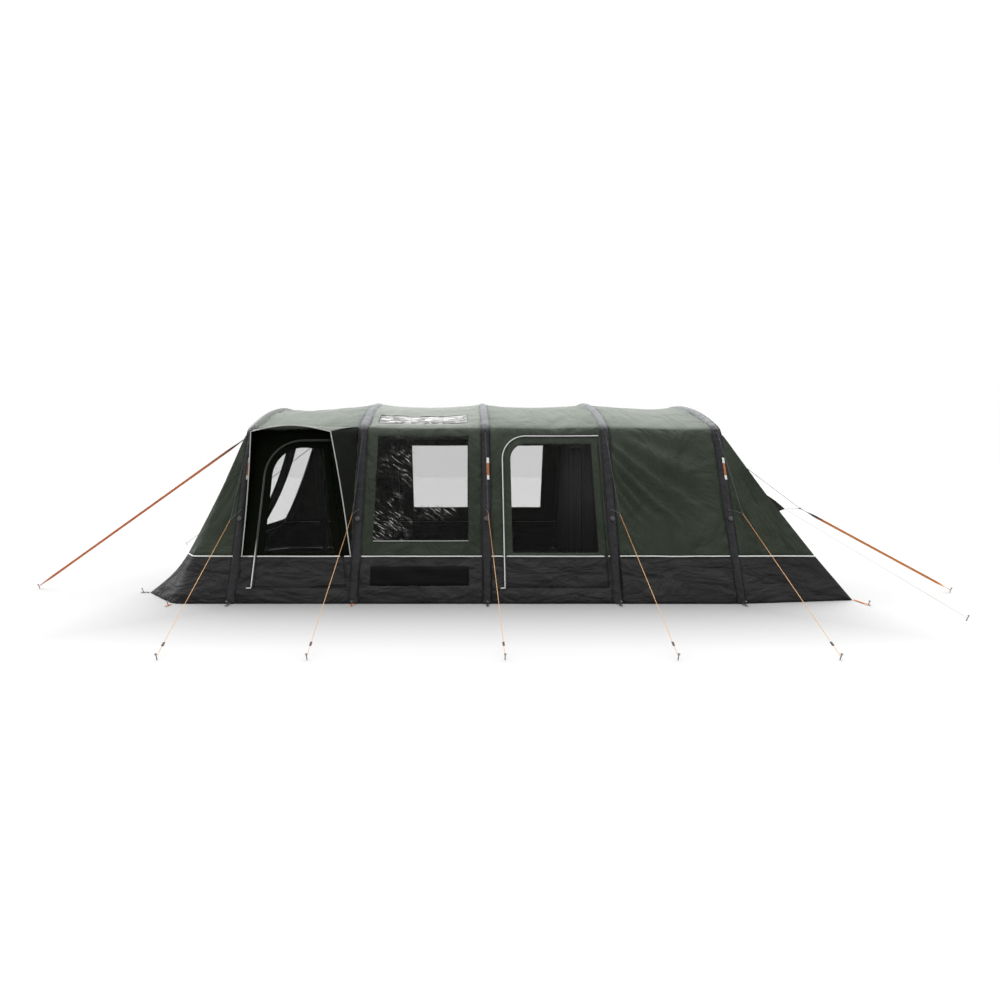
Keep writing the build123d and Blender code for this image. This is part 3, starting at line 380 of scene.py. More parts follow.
# painted light: the sleeves' slate turns far paler above 1.75 m, as if lit from above, and less so on the front sleeve
SLEEVE = cloth_material("sleeve_slate", (0.02, 0.02, 0.0215), (0.03, 0.03, 0.033), crease=0.6, crease_scale=9.0,
                        upper=(0.185, 0.19, 0.198), upper_z=(1.75, 1.82))
FRONT_SLEEVE = cloth_material("sleeve_slate_front", (0.02, 0.02, 0.0215), (0.03, 0.03, 0.033), crease=0.5, crease_scale=9.0,
                              upper=(0.115, 0.13, 0.112), upper_z=(1.75, 1.82))
INNER = cloth_material("bedroom_cloth", (0.006, 0.0065, 0.0065), (0.01, 0.0105, 0.0105), crease=0.5, stretch=(1, 1, 0.5),
                       gloss=0.05)
GROUND = cloth_material("groundsheet_cloth", (0.012, 0.013, 0.014), (0.02, 0.021, 0.022), crease=0.5, gloss=0.05)
PIPING = cloth_material("piping_white", (0.6, 0.6, 0.585), (0.75, 0.75, 0.73), crease=0.1, weave=600, fine=0.3)
DIM_PIPING = cloth_material("piping_shaded", (0.7, 0.7, 0.68), (0.8, 0.8, 0.78), crease=0.1, weave=600, fine=0.3,
                            upper=(0.07, 0.07, 0.065), upper_z=(0.4, 0.62))
HOOD_PIPING = cloth_material("piping_hood", (0.38, 0.38, 0.37), (0.48, 0.48, 0.46), crease=0.1, weave=600, fine=0.3)
ZIP = braid_material("zip_black", (0.008, 0.008, 0.009), (0.03, 0.03, 0.03), scale=150, axis="Z")
CLEAR = film_material("clear_film", 0.12)
# painted highlights on the crinkled film and on the roof light film
CRINKLED = film_material("crinkled_film", 0.17, streaks=0.9, plain=(-0.74, 0.93))
SKY = film_material("roof_light_film", 0.5, streaks=1.0, level=True)
TINTED = film_material("door_film", 0.14)
NET = net_material("vent_net", (0.006, 0.006, 0.0065), 0.98)
STRAP = braid_material("strap_brown_orange", (0.42, 0.09, 0.02), (0.56, 0.15, 0.03), scale=45,
                       tints=[([("X", -3.0, -2.6)], (0.05, 0.045, 0.04))])
TAG = braid_material("tag_orange_brown", (0.28, 0.07, 0.02), (0.45, 0.15, 0.05))
GREY_STRAP = braid_material("strap_far", (0.45, 0.44, 0.42), (0.6, 0.58, 0.56), scale=45)
BLACK_WEB = braid_material("webbing_black", (0.012, 0.012, 0.014), (0.04, 0.04, 0.042), scale=70)
LOOP_RAMPS = ([("Z", 0.1, 0.12)], [("X", -2.9, -2.8), ("X", -1.6, -1.7)], [("X", -1.0, -0.9), ("X", 3.3, 3.2)],
              [("X", -3.3, -3.4)])  # the loops are orange by three of the near feet, and black elsewhere
LOOPS = braid_material("webbing_loops", (0.5, 0.13, 0.02), (0.72, 0.25, 0.05), scale=60,
                       tints=[(ramps, (0.02, 0.02, 0.022)) for ramps in LOOP_RAMPS])
LINE = braid_material("line_orange", (0.55, 0.27, 0.09), (0.68, 0.4, 0.17), scale=120,
                      tints=[([("Z", 0.5, 0.7)], (0.42, 0.16, 0.02))])
LEG = braid_material("leg_grey", (0.03, 0.03, 0.032), (0.075, 0.075, 0.078), scale=120)
PALE_LINE = braid_material("line_pale", (0.4, 0.38, 0.36), (0.6, 0.57, 0.54), scale=120,
                           tints=[([("X", 3.5, 3.2)], (0.6, 0.3, 0.12))])
REAR_STRAP = braid_material("strap_orange", (0.45, 0.13, 0.02), (0.62, 0.22, 0.045), scale=45,
                            tints=[([("X", 3.62, 3.5)], (0.03, 0.028, 0.03))])
BLACK = moulded_material("moulded_black", (0.015, 0.015, 0.017))
CAP = moulded_material("valve_cap_grey", (0.07, 0.07, 0.08), 0.35)
STEEL = moulded_material("peg_steel", (0.12, 0.12, 0.12), 0.4, 1.0)
BLADDER = moulded_material("air_beam_film", (0.7, 0.72, 0.74), 0.3)

# ------------------------------------------------------------------ mesh helpers
def make_object(name, verts, faces, material, body="tent", nodes=(), slot=None, smooth=True, face_slots=None):
    mesh = bpy.data.meshes.new(name)
    mesh.from_pydata([tuple(v) for v in verts], [], faces)
    materials = material if isinstance(material, (list, tuple)) else [material]
    for m in materials:
        mesh.materials.append(m)
    if face_slots:
        mesh.polygons.foreach_set("material_index", face_slots)
    if smooth:
        mesh.polygons.foreach_set("use_smooth", [True] * len(mesh.polygons))
    mesh.validate()
    mesh.update()
    obj = bpy.data.objects.new(name, mesh)
    COLLECTION.objects.link(obj)
    if nodes:
        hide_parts(*nodes)
    if body:
        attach(obj, body)
    return obj


def thicken(obj, thick=CLOTH, offset=0.0):
    solid = obj.modifiers.new("thickness", "SOLIDIFY")
    solid.thickness, solid.offset = thick, offset


def grid_cloth(name, place, n, m, material, nodes, slot, flip=False, thick=CLOTH, offset=0.0):
    """Cloth over a grid of n by m. place gives its points for u and v from 0 to 1. Returns the object and its area."""
    verts = [place(i / n, j / m) for i in range(n + 1) for j in range(m + 1)]
    step = m + 1
    faces = [(i * step + j, (i + 1) * step + j, (i + 1) * step + j + 1, i * step + j + 1) for i in range(n) for j in range(m)]
    obj = make_object(name, verts, [f[::-1] for f in faces] if flip else faces, material, nodes=nodes, slot=slot)
    thicken(obj, thick, offset)
    return obj, sum(p.area for p in obj.data.polygons)


def tube_faces(rings, sides, caps=True):
    faces = [(i * sides + j, i * sides + (j + 1) % sides, (i + 1) * sides + (j + 1) % sides, (i + 1) * sides + j)
             for i in range(rings - 1) for j in range(sides)]
    if caps:
        faces += [tuple(range(sides))[::-1], tuple((rings - 1) * sides + j for j in range(sides))]
    return faces


def rect(a0, a1, b0, b1):
    return [(a0, b0), (a1, b0), (a1, b1), (a0, b1)]


def dense(loop, step):
    """The closed loop with points at most step apart."""
    out = []
    for (ax, ay), (bx, by) in zip(loop, loop[1:] + loop[:1]):
        n = max(1, ceil(hypot(bx - ax, by - ay) / step))
        out += [(ax + (bx - ax) * i / n, ay + (by - ay) * i / n) for i in range(n)]
    return out


def inside(p, loop):
    hit = False
    x, y = p
    for (ax, ay), (bx, by) in zip(loop, loop[1:] + loop[:1]):
        if (ay > y) != (by > y) and x < (bx - ax) * (y - ay) / (by - ay) + ax:
            hit = not hit
    return hit


def panel(name, outline, holes, place, material, step=0.04, pick=None, thick=CLOTH, cloth="stretched", rests=(), slope=1.0,
          **kw):
    """A sheet cut to outline, less its holes, and put in place. Returns the object. slope: the cut's length per unit of
    the outline's second coordinate, where that is a height; it is not used."""
    outline = dense(outline, step)
    holes = [dense(h, step) for h in holes]
    points, edges = [], []
    for loop in [outline, *holes]:
        start = len(points)
        points += [Vector(p) for p in loop]
        edges += [(start + i, start + (i + 1) % len(loop)) for i in range(len(loop))]
    xs, ys = [p[0] for p in outline], [p[1] for p in outline]
    nx, ny = max(2, ceil((max(xs) - min(xs)) / step)), max(2, ceil((max(ys) - min(ys)) / step))
    margin = 0.45 * step
    grid = {}
    for p in points:
        grid.setdefault((int(p.x // step), int(p.y // step)), []).append(p)
    for i in range(1, nx):
        for j in range(1, ny):
            p = (min(xs) + (max(xs) - min(xs)) * i / nx, min(ys) + (max(ys) - min(ys)) * j / ny)
            if not inside(p, outline) or any(inside(p, h) for h in holes):
                continue
            cell = (int(p[0] // step), int(p[1] // step))
            near_edge = any(
                hypot(q.x - p[0], q.y - p[1]) < margin
                for a in (-1, 0, 1) for b in (-1, 0, 1) for q in grid.get((cell[0] + a, cell[1] + b), ()))
            if not near_edge:
                points.append(Vector(p))
    verts, _, faces, *_ = delaunay_2d_cdt(points, edges, [], 0, 1e-6)
    kept = []
    for f in faces:
        c = sum((verts[i] for i in f), Vector((0, 0))) / len(f)
        if inside(c, outline) and not any(inside(c, h) for h in holes):
            kept.append(list(f))
    used = sorted({i for f in kept for i in f})
    index = {v: i for i, v in enumerate(used)}
    slots = [pick(*(sum((verts[i] for i in f), Vector((0, 0))) / len(f))) for f in kept] if pick else None
    obj = make_object(name, [place(verts[i].x, verts[i].y) for i in used], [[index[i] for i in f] for f in kept],
                      material, face_slots=slots, **kw)
    thicken(obj, thick)
    return obj


def sweep(name, path, normals, profile, material, **kw):
    """A bar of that profile, points (across, out), along a path with outward normals."""
    verts = []
    for i, p in enumerate(path):
        tangent = (path[min(i + 1, len(path) - 1)] - path[max(i - 1, 0)]).normalized()
        across = tangent.cross(normals[i].normalized()).normalized()
        out = across.cross(tangent)
        verts += [p + across * u + out * v for u, v in profile]
    return make_object(name, verts, tube_faces(len(path), len(profile)), material, **kw)


def oval(width, height, sides=10):
    return [(width / 2 * cos(2 * pi * k / sides), height / 2 * sin(2 * pi * k / sides)) for k in range(sides)]


def trace(run, place, step=0.03):
    """An open 2-D path put on a surface: its points and the surface's normals there."""
    points = []
    for (ax, ay), (bx, by) in zip(run, run[1:]):
        n = max(1, ceil(hypot(bx - ax, by - ay) / step))
        points += [(ax + (bx - ax) * i / n, ay + (by - ay) * i / n) for i in range(n)]
    path, normals = [], []
    for a, b in [*points, run[-1]]:
        path.append(place(a, b))
        da = place(a + 0.004, b) - place(a - 0.004, b)
        db = place(a, b + 0.004) - place(a, b - 0.004)
        normals.append(da.cross(db))
    return path, normals


def piping(name, run, place, material=PIPING, width=0.014, height=0.009, flip=False, body="tent"):
    """Piping or a zip that runs along a 2-D path on a sheet."""
    path, normals = trace(run, place)
    if flip:
        normals = [-n for n in normals]
    path = [p + n.normalized() * 0.003 for p, n in zip(path, normals)]
    return sweep(name, path, normals, oval(width, height), material, body=body)


# ------------------------------------------------------------------ cords first
def peg_tie(x, y):
    """Where a line is tied to the peg at (x, y): pegs lean away from the tent."""
    shift = PEG_TIE * tan(radians(25))
    if abs(x) < REAR_X:
        return Vector((x, y + (shift if y > 0 else -shift), PEG_TIE))
    return Vector((x + (shift if x > 0 else -shift), y, PEG_TIE))


def towards(a, b, distance):
    return a + (b - a).normalized() * distance


def line(name, a, b, diameter, material, nodes):
    """A taut round line as a straight spline."""
    curve = bpy.data.curves.new(name, "CURVE")
    curve.dimensions = "3D"
    curve.bevel_depth = diameter / 2
    curve.bevel_resolution = 3
    curve.use_fill_caps = True
    spline = curve.splines.new("NURBS")
    spline.points.add(2)
    for point, p in zip(spline.points, (a, (a + b) / 2, b)):
        point.co = (*p, 1)
    spline.order_u = 3
    spline.use_endpoint_u = True
    curve.materials.append(material)
    obj = bpy.data.objects.new(name, curve)
    COLLECTION.objects.link(obj)
    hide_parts(*nodes)
    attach(obj, "tent")
    return obj


def strap(name, a, b, material, nodes, width=0.025, thick=0.0025, twist=pi / 2):
    """A taut flat strap, level across at its ends and turned by twist between them."""
    n = 60
    path = [a + (b - a) * i / n for i in range(n + 1)]
    side = (b - a).cross(Vector((0, 0, 1))).normalized()
    up = side.cross(b - a).normalized()
    outs = []
    for i in range(n + 1):
        turn = twist * step01(min(i, n - i) / 7)
        outs.append(up * cos(turn) + side * sin(turn))
    shape = [(-width / 2, -thick / 2), (width / 2, -thick / 2), (width / 2, thick / 2), (-width / 2, thick / 2)]
    obj = sweep(name, path, outs, shape, material, nodes=nodes, slot="webbing", smooth=False)
    return obj


def mirror(p):
    return Vector((p.x, -p.y, p.z))


SIDES = (("near", Vector), ("far", mirror))  # points are worked out on the near side, then copied or mirrored


def tab_point(x, z):
    """The outer end of the webbing tab on a sleeve's near side."""
    y = leg_y(z, BEAM_INSET)
    reach = SLEEVE_R + 0.0083
    return Vector((x, -y - COSL * reach, z + SINL * reach))


for i, (bx, px) in enumerate(zip(BEAM_X, PEG_X), 1):
    ring = Vector((bx + 0.1 * (px - bx), -JUNCTION_Y, JUNCTION_Z[i - 1]))
    tie = peg_tie(px, -PEG_Y)
    for side, turn in SIDES:
        ring_p, tie_p = turn(ring), turn(tie)
        line(f"guy_line_{side}_{i}", towards(ring_p, tie_p, 0.006), towards(tie_p, ring_p, 0.003), 0.0045, LINE,
             ["side_guy_lines"])
        for what, z in (("upper", GUY_TOP_Z), ("lower", GUY_LOW_Z)):
            tab = turn(tab_point(bx, z))
            line(f"guy_leg_{what}_{side}_{i}", towards(tab, ring_p, 0.0006), towards(ring_p, tab, 0.007), 0.0035, LEG,
                 ["side_guy_legs"])

REAR_SLOPE = (REAR_KINK - REAR_X) / (SHOULDER_Z - MUD_TOP)


def rear_x(z, outside=0.0):
    return REAR_KINK + REAR_SLOPE * (MUD_TOP - z) + outside * sqrt(1 + REAR_SLOPE**2)


front_run = Vector((FRONT_KINK - FRONT_X, 0, MUD_TOP - SHOULDER_Z)).normalized()
rear_run = Vector((REAR_KINK - REAR_X, 0, MUD_TOP - SHOULDER_Z)).normalized()
front_out = Vector((0, 1, 0)).cross(front_run)
rear_out = -Vector((0, 1, 0)).cross(rear_run)
front_tab = Vector((FRONT_X - 0.0005, -FRONT_TAB[0], SHOULDER_Z)) + front_run * FRONT_TAB[1] + front_out * 0.008
rear_tab = Vector((REAR_X + 0.0005, -REAR_TAB[0], SHOULDER_Z)) + rear_run * REAR_TAB[1] + rear_out * 0.008
storm_ring = Vector((STORM_RING[0], -STORM_RING[1], STORM_RING[2]))
hood_corner = Vector((HOOD_TIP[0], -(HOOD_HALF - 0.002), HOOD_TIP[1]))
for side, turn in SIDES:
    near = side == "near"
    a = turn(front_tab)
    b = peg_tie(FRONT_STRAP_PEG[0], -FRONT_STRAP_PEG[1]) if near else peg_tie(*FAR_FRONT_STRAP_PEG)
    strap(f"front_storm_strap_{side}", towards(a, b, 0.002 if near else 0.007), towards(b, a, 0.003),
          STRAP if near else GREY_STRAP, ["storm_lines"], twist=pi / 2 if near else 0.0)
    ring, tab, corner = turn(storm_ring), turn(rear_tab), turn(hood_corner)
    b = turn(peg_tie(REAR_STRAP_PEG[0], -REAR_STRAP_PEG[1]))
    strap(f"rear_storm_strap_{side}", towards(ring, b, 0.007), towards(b, ring, 0.003), REAR_STRAP, ["storm_lines"])
    line(f"rear_storm_leg_{side}", towards(tab, ring, 0.001), towards(ring, tab, 0.007), 0.0045, BLACK_WEB, ["storm_lines"])
    line(f"hood_leg_{side}", towards(corner, ring, 0.004), towards(ring, corner, 0.007), 0.0035, BLACK_WEB, ["storm_lines"])
    b = turn(peg_tie(REAR_LINE_PEG[0], -REAR_LINE_PEG[1]))
    line(f"hood_line_{side}", towards(corner, b, 0.008), towards(b, corner, 0.003), 0.0035, PALE_LINE, ["storm_lines"])


# ------------------------------------------------------------------ openings, as loops
def door_loop(door, inset=0.0, low=None, arc=14):
    """A D-shaped door's outline, shrunk by inset and cut off at low."""
    zip_at, hinge_low, hinge_high, sill, top, radius = door
    lean = (hinge_high - hinge_low) / (top - sill)
    shift = inset * sqrt(1 + lean**2)
    left, radius, top = zip_at + inset, max(radius - inset, 0.04), top - inset
    sill = max(sill + inset, low or 0.0)
    corner = [(left + radius - radius * cos(a), top - radius + radius * sin(a))
              for a in (pi / 2 * k / arc for k in range(arc + 1))]
    return [(hinge_x(door, sill) - shift, sill), (left, sill), *corner, (hinge_x(door, top) - shift, top)]


def grown(r, d):
    return rect(r[0] - d, r[1] + d, r[2] - d, r[3] + d)


def to_s(loop, far=False):
    """A loop in (x, z) on a wall as one in (x, s) round the arch."""
    return [(x, GIRTH - z / COSL if far else z / COSL) for x, z in loop]


S_MUD = MUD_TOP / COSL
S_ROOF = LEG_LEN + 0.63 * SHOULDER_LEN
RIM_Y, RIM_Z, RIM_X = -1.65, 1.72, (-1.343, -1.602)  # the porch hood's lip, and its right edge's foot and top
ROOF_LIGHT_S = sorted(LEG_LEN + SHOULDER_LEN + ROOF_R * (ROOF_HALF - asin(y / ROOF_R)) for y in ROOF_LIGHT_Y)
LIGHTS = [rect(*ROOF_LIGHT_X, *ROOF_LIGHT_S), rect(*ROOF_LIGHT_X, GIRTH - ROOF_LIGHT_S[1], GIRTH - ROOF_LIGHT_S[0])]
BAYS = [(a + EDGE, b - EDGE) for a, b in zip(BEAM_X, BEAM_X[1:])]
DOORS = {0: ("porch_door", PORCH_DOOR), 2: ("side_door", SIDE_DOOR)}  # by bay, and so are the other openings
WINDOWS = {1: [to_s(rect(*SIDE_WINDOW)), to_s(rect(*FAR_WINDOWS[0]), far=True), *LIGHTS],
           2: [to_s(rect(*FAR_WINDOWS[1]), far=True)]}
WALL_NODES = ("porch_bay_wall", "window_bay_wall", "side_door_bay_wall", "bedroom_bay_wall")


# ------------------------------------------------------------------ flysheet and mud walls over the four bays
def fly_part(x, s):
    """The fly's cloth: 0 wall, 1 roof, 2 the part under the porch hood, which carries painted shade."""
    if S_ROOF < s < GIRTH - S_ROOF:
        return 1
    return 2 if s < S_ROOF and x < mix(*RIM_X, (s * COSL - MUD_TOP) / (RIM_Z - MUD_TOP)) else 0


def mud_wrinkle(x, s):
    w = 0.014 * ridge_noise(Vector((x * 2.2 + s * 2.6, s * 6.5 + x * 1.2, 5.2)))
    w += 0.01 * ridge_noise(Vector((x * 4 - s * 6, s * 8 + x * 3, 2.2)))
    return w * step01(s / 0.1) * calm(x, s)


def mud(x, s, out=0.0):
    """Point on a mud wall. out moves it off the cloth."""
    side = min(s, GIRTH - s)
    depth = mud_wrinkle(x if s < GIRTH / 2 else x + CREASE_SHIFT, side)
    return fly(x, s, out=out - 0.001 + depth * step01((S_MUD - side) / 0.06), wrinkle=0.4)


for k, (low, high) in enumerate(BAYS):  # a door cuts the lower edge of the fly
    door = to_s(door_loop(DOORS[k][1], low=MUD_TOP)) if k in DOORS else []
    outline = [(low, S_MUD), *door[1:], *door[:1], (high, S_MUD), (high, GIRTH - S_MUD), (low, GIRTH - S_MUD)]
    panel(f"fly_bay_{k + 1}", outline, WINDOWS.get(k, []), fly, [GREEN, ROOF_BRIGHTER_LIGHT if k == 1 else ROOF, SHADE], step=0.03,
          pick=fly_part, rests=[f"beam_sleeve_{k + 1}", f"beam_sleeve_{k + 2}"],
          nodes=[WALL_NODES[k], "fly_roof", "far_walls"], slot="fly_wall")
for k, (low, high) in enumerate(BAYS):
    bottom, top = 0.0015, S_MUD - 0.001
    outline = rect(low, high, bottom, top)
    if k in DOORS:
        door, sill = DOORS[k][1], SILL / COSL
        outline = [*outline[:3], (hinge_x(door, MUD_TOP), top), (door[1], sill), (door[0], sill), (door[0], top), outline[3]]
    panel(f"mud_wall_near_{k + 1}", outline, [to_s(rect(*LOW_VENT))] if k == 1 else [], mud, MUD, nodes=["mud_wall_near"],
          slot="mud_wall", step=0.03)
    panel(f"mud_wall_far_{k + 1}", rect(low, high, GIRTH - top, GIRTH - bottom), [], mud, MUD, nodes=["mud_wall_far"],
          slot="mud_wall")


# ------------------------------------------------------------------ windows, vents and roof lights
def crinkled(x, s):
    w = 0.005 * ridge_noise(Vector((x * 3.6, s * 3.1, 9.1))) + 0.003 * noise.noise(Vector((x * 9, s * 8, 4.1)))
    return fly(x, s, out=w, wrinkle=0.3)


panel("side_window_film", to_s(grown(SIDE_WINDOW, SEW)), [], crinkled, CRINKLED, step=0.025, nodes=["side_window"],
      slot="clear_window")
for k, window in enumerate(FAR_WINDOWS, 1):
    panel(f"far_window_film_{k}", to_s(grown(window, SEW), far=True), [], crinkled, CLEAR, nodes=["front_and_far_windows"],
          slot="clear_window")
for k, light in enumerate(LIGHTS, 1):
    panel(f"roof_light_film_{k}", light, [], lambda x, s: fly(x, s, out=-0.001), SKY, nodes=["roof_lights"],
          slot="clear_window")
panel("low_vent_net", to_s(grown(LOW_VENT, 0.003)), [], mud, NET, nodes=["vent_meshes"], slot="mesh")

# ------------------------------------------------------------------ near-side doors
for key, door in (DOORS[2], DOORS[0]):
    body = f"{key}_panel"
    frame_edge = DOOR_GAP + DOOR_FRAME
    # the porch door's cloth carries painted shade
    panel(f"{key}_cloth", to_s(door_loop(door, DOOR_GAP)), [to_s(door_loop(door, frame_edge, low=WINDOW_SILL))],
          lambda x, s: fly(x, s, wrinkle=0.8) if s > S_MUD else mud(x, s), [SHADE if key == "porch_door" else GREEN, MUD],
          pick=lambda x, s: 1 if s < S_MUD else 0, step=0.03, body=body, nodes=[key], slot="fly_wall")
    panel(f"{key}_window_film", to_s(door_loop(door, frame_edge - SEW, low=WINDOW_SILL - SEW)), [],
          lambda x, s: fly(x, s, out=-0.001, wrinkle=0.5), TINTED, step=0.03, body=body, nodes=[f"{key}_window"],
          slot="clear_window")


# ------------------------------------------------------------------ ends
def front_edge(z):
    """(x, y) of the front wall's side edge at height z, y positive. The cloth's edges sag in between their corners."""
    if z >= MUD_TOP:
        t = (SHOULDER_Z - z) / (SHOULDER_Z - MUD_TOP)
        return mix(FRONT_X, FRONT_KINK, t) + 0.022 * sin(pi * t), mix(SHOULDER_Y, FRONT_KINK_Y, t)
    t = (MUD_TOP - z) / MUD_TOP
    return mix(FRONT_KINK, FRONT_TOE, t) + 0.045 * sin(pi * t), mix(FRONT_KINK_Y, FRONT_TOE_Y, t)


def rear_edge(z):
    if z >= MUD_TOP:
        t = (SHOULDER_Z - z) / (SHOULDER_Z - MUD_TOP)
        return mix(REAR_X, REAR_KINK, t) - 0.018 * sin(pi * t), mix(SHOULDER_Y, REAR_KINK_Y, t)
    t = (MUD_TOP - z) / MUD_TOP
    return mix(REAR_KINK, REAR_TOE, t), mix(REAR_KINK_Y, REAR_TOE_Y, t)


def front_bow(y, z, half):
    """How far the front wall's middle is drawn in."""
    v = max(-1.0, min(1.0, y / half))
    depth = 0.11 * min(1.0, z / MUD_TOP) + 0.045 * sin(pi * min(1.0, max(0.0, (SHOULDER_Z - z) / (SHOULDER_Z - MUD_TOP))))
    return depth * (1 - v**4)


def front_wall(y, z):
    x, half = front_edge(z)
    x += front_bow(y, z, half) + 0.004 * ridge_noise(Vector((y * 1.6, z * 1.9, 7.7)))
    return Vector((x, y, z - end_drop(x, z) * 0.9))


def rear_wall(y, z):
    x, half = rear_edge(z)
    v = max(-1.0, min(1.0, y / half))
    x -= 0.03 * (1 - v * v) * step01(z / 0.5) * step01((SHOULDER_Z - z) / 0.7)
    x += 0.004 * ridge_noise(Vector((y * 1.6, z * 1.9, 2.7)))
    return Vector((x, y, z - end_drop(x, z) * 0.9))


def slope_of(edge, low, high):
    return hypot(edge(high)[0] - edge(low)[0], high - low) / (high - low)


def end_outline(edge, low, high, n):
    """Both edges of an end wall from low to high."""
    levels = [mix(low, high, k / n) for k in range(n + 1)]
    return [(-edge(z)[1], z) for z in levels[::-1]] + [(edge(z)[1], z) for z in levels]


for key, edge, place, windows in (("front", front_edge, front_wall, FRONT_WINDOWS),
                                  ("rear", rear_edge, rear_wall, [REAR_VENT])):
    panel(f"{key}_wall_cloth", end_outline(edge, MUD_TOP, SHOULDER_Z - SEW, 30), [rect(*w) for w in windows], place, GREEN,
          step=0.05, slope=slope_of(edge, MUD_TOP, SHOULDER_Z), nodes=[f"{key}_wall"], slot="fly_wall")
    panel(f"mud_wall_{key}_middle", end_outline(edge, 0.002, MUD_TOP - 0.001, 12), [], place, MUD,
          slope=slope_of(edge, 0.0, MUD_TOP), nodes=[f"mud_wall_{key}"], slot="mud_wall")
for k, window in enumerate(FRONT_WINDOWS, 1):
    panel(f"front_window_film_{k}", rect(*window), [], front_wall, CLEAR, step=0.05, nodes=["front_and_far_windows"],
          slot="clear_window")
panel("rear_vent_net", rect(*REAR_VENT), [], rear_wall, NET, step=0.05, nodes=["vent_meshes"], slot="mesh")


def half_moon(y, t, x, front):
    """Upright cloth that closes the arch above the shoulders. t is 0 at the shoulder line and 1 at the roof."""
    roof = ROOF_CENTRE_Z + sqrt(ROOF_R**2 - y * y)
    edge_y = abs(y)
    if edge_y > CORNER_Y:
        roof = min(roof, CORNER_Z + sqrt(max(0.0, SHOULDER_R**2 - (edge_y - CORNER_Y) ** 2)))
    z = mix(SHOULDER_Z - SEW, roof - SEW, t)
    if front:
        x += front_bow(y, SHOULDER_Z, SHOULDER_Y)
    return Vector((x, y, z - end_drop(x, z)))


for key, x, front in (("front", FRONT_X + 0.002, True), ("rear", REAR_X - 0.002, False)):
    limit = SHOULDER_Y - 0.002
    obj, area = grid_cloth(f"{key}_half_moon", lambda u, v: half_moon(mix(-limit, limit, u), v, x, front), 60, 8, GREEN,
                           [f"{key}_wall"], "fly_wall", offset=-1.0)


def end_side(w, z, side, front):
    """Point on an end's side panel: w is 0 at the beam and 1 at the end wall's edge."""
    if front:
        ex, ey = front_edge(z)
        t = (SHOULDER_Z - z) / SHOULDER_Z
        cx, cy = mix(FRONT_X, FRONT_CORNER, t), mix(SHOULDER_Y, HALF_WIDTH, t)
        bx, by = FRONT_X + 0.035, leg_y(z)
        a, b, c = Vector((bx, by)), Vector((cx, cy)), Vector((ex, ey))
        # a soft corner between the two flat parts
        if w < 0.42:
            p = mix(a, b, w / 0.5)
        elif w > 0.58:
            p = mix(b, c, (w - 0.5) / 0.5)
        else:
            u = (w - 0.42) / 0.16
            p0, p2 = mix(a, b, 0.84), mix(b, c, 0.16)
            p = p0 * (1 - u) ** 2 + b * 2 * u * (1 - u) + p2 * u * u
        x, y = p
    else:
        ex, ey = rear_edge(z)
        x, y = mix(REAR_X - 0.035, ex, w), mix(leg_y(z), ey, w)
    pinch = 0.012 * sin(pi * w) * step01(z / 0.3) * step01((SHOULDER_Z - z) / 0.5)
    pinch -= 0.003 * ridge_noise(Vector((x * 2.1, z * 2.3, 1.1)))
    return Vector((x, side * (y - pinch), z - end_drop(x, z) * 0.9))


for side, word in ((-1, "near"), (1, "far")):
    for front, key in ((True, "front"), (False, "rear")):
        for name, low, high, m, material, node, slot in (
                ("cloth", MUD_TOP, SHOULDER_Z - SEW, 30, GREEN, "end_corners", "fly_wall"),
                ("mud_wall", 0.002, MUD_TOP - 0.001, 14, MUD, f"mud_wall_{key}", "mud_wall")):
            obj, area = grid_cloth(f"{key}_side_{name}_{word}", lambda u, v: end_side(u, mix(low, high, v), side, front),
                                   26, m, material, [node], slot, flip=side < 0)
            foot = (end_side(1, low, side, front) - end_side(0, low, side, front)).length


# ------------------------------------------------------------------ beam sleeves and the tubes inside them
def sleeve_path(s, x):
    """The beam's centre at s, and the way out of the tent there."""
    y, z, ny, nz = arch(s)
    return Vector((x, y - ny * BEAM_INSET, z - nz * BEAM_INSET - end_drop(x, z))), Vector((0, ny, nz))


for k, x in enumerate(BEAM_X, 1):
    n, sides = 420, 28
    verts = []
    for i in range(n + 1):
        s = mix(-0.004, GIRTH + 0.004, i / n)
        centre, out = sleeve_path(min(max(s, 0), GIRTH), x)
        if not 0 <= s <= GIRTH:
            centre.z -= 0.003
        turn = max(0.0, 1 - abs(min(s, GIRTH - s) - LEG_LEN - SHOULDER_LEN / 2) / 0.22)  # 1 at the middle of a shoulder
        for j in range(sides):
            a = 2 * pi * j / sides
            pucker = 0.0016 * noise.noise(Vector((s * 16, 1.4 * cos(a) + x, 1.4 * sin(a))))
            r = SLEEVE_R + pucker + 0.0025 * turn * noise.noise(Vector((s * 34, 0.5 * cos(a) + x, 0.3)))
            p = centre + Vector((cos(a) * r, 0, 0)) + out * sin(a) * r
            p.z = max(p.z, 0.0005)
            verts.append(p)
    make_object(f"sleeve_cloth_{k}", verts, tube_faces(n + 1, sides, caps=False), FRONT_SLEEVE if k == 1 else SLEEVE,
                nodes=[f"beam_sleeve_{k}"], slot="beam_sleeve")
    for e, word in ((-1, "front"), (1, "rear")):  # its sewn edges on the flysheet
        seam = [(x + e * 0.049, mix(0.02, GIRTH - 0.02, i / 300)) for i in range(301)]
        path, normals = trace(seam, lambda a, b: fly(a, b, out=0.004, wrinkle=0.0), step=0.1)
        sweep(f"sleeve_seam_{k}_{word}", path, normals, oval(0.009, 0.004, 8), SLEEVE)
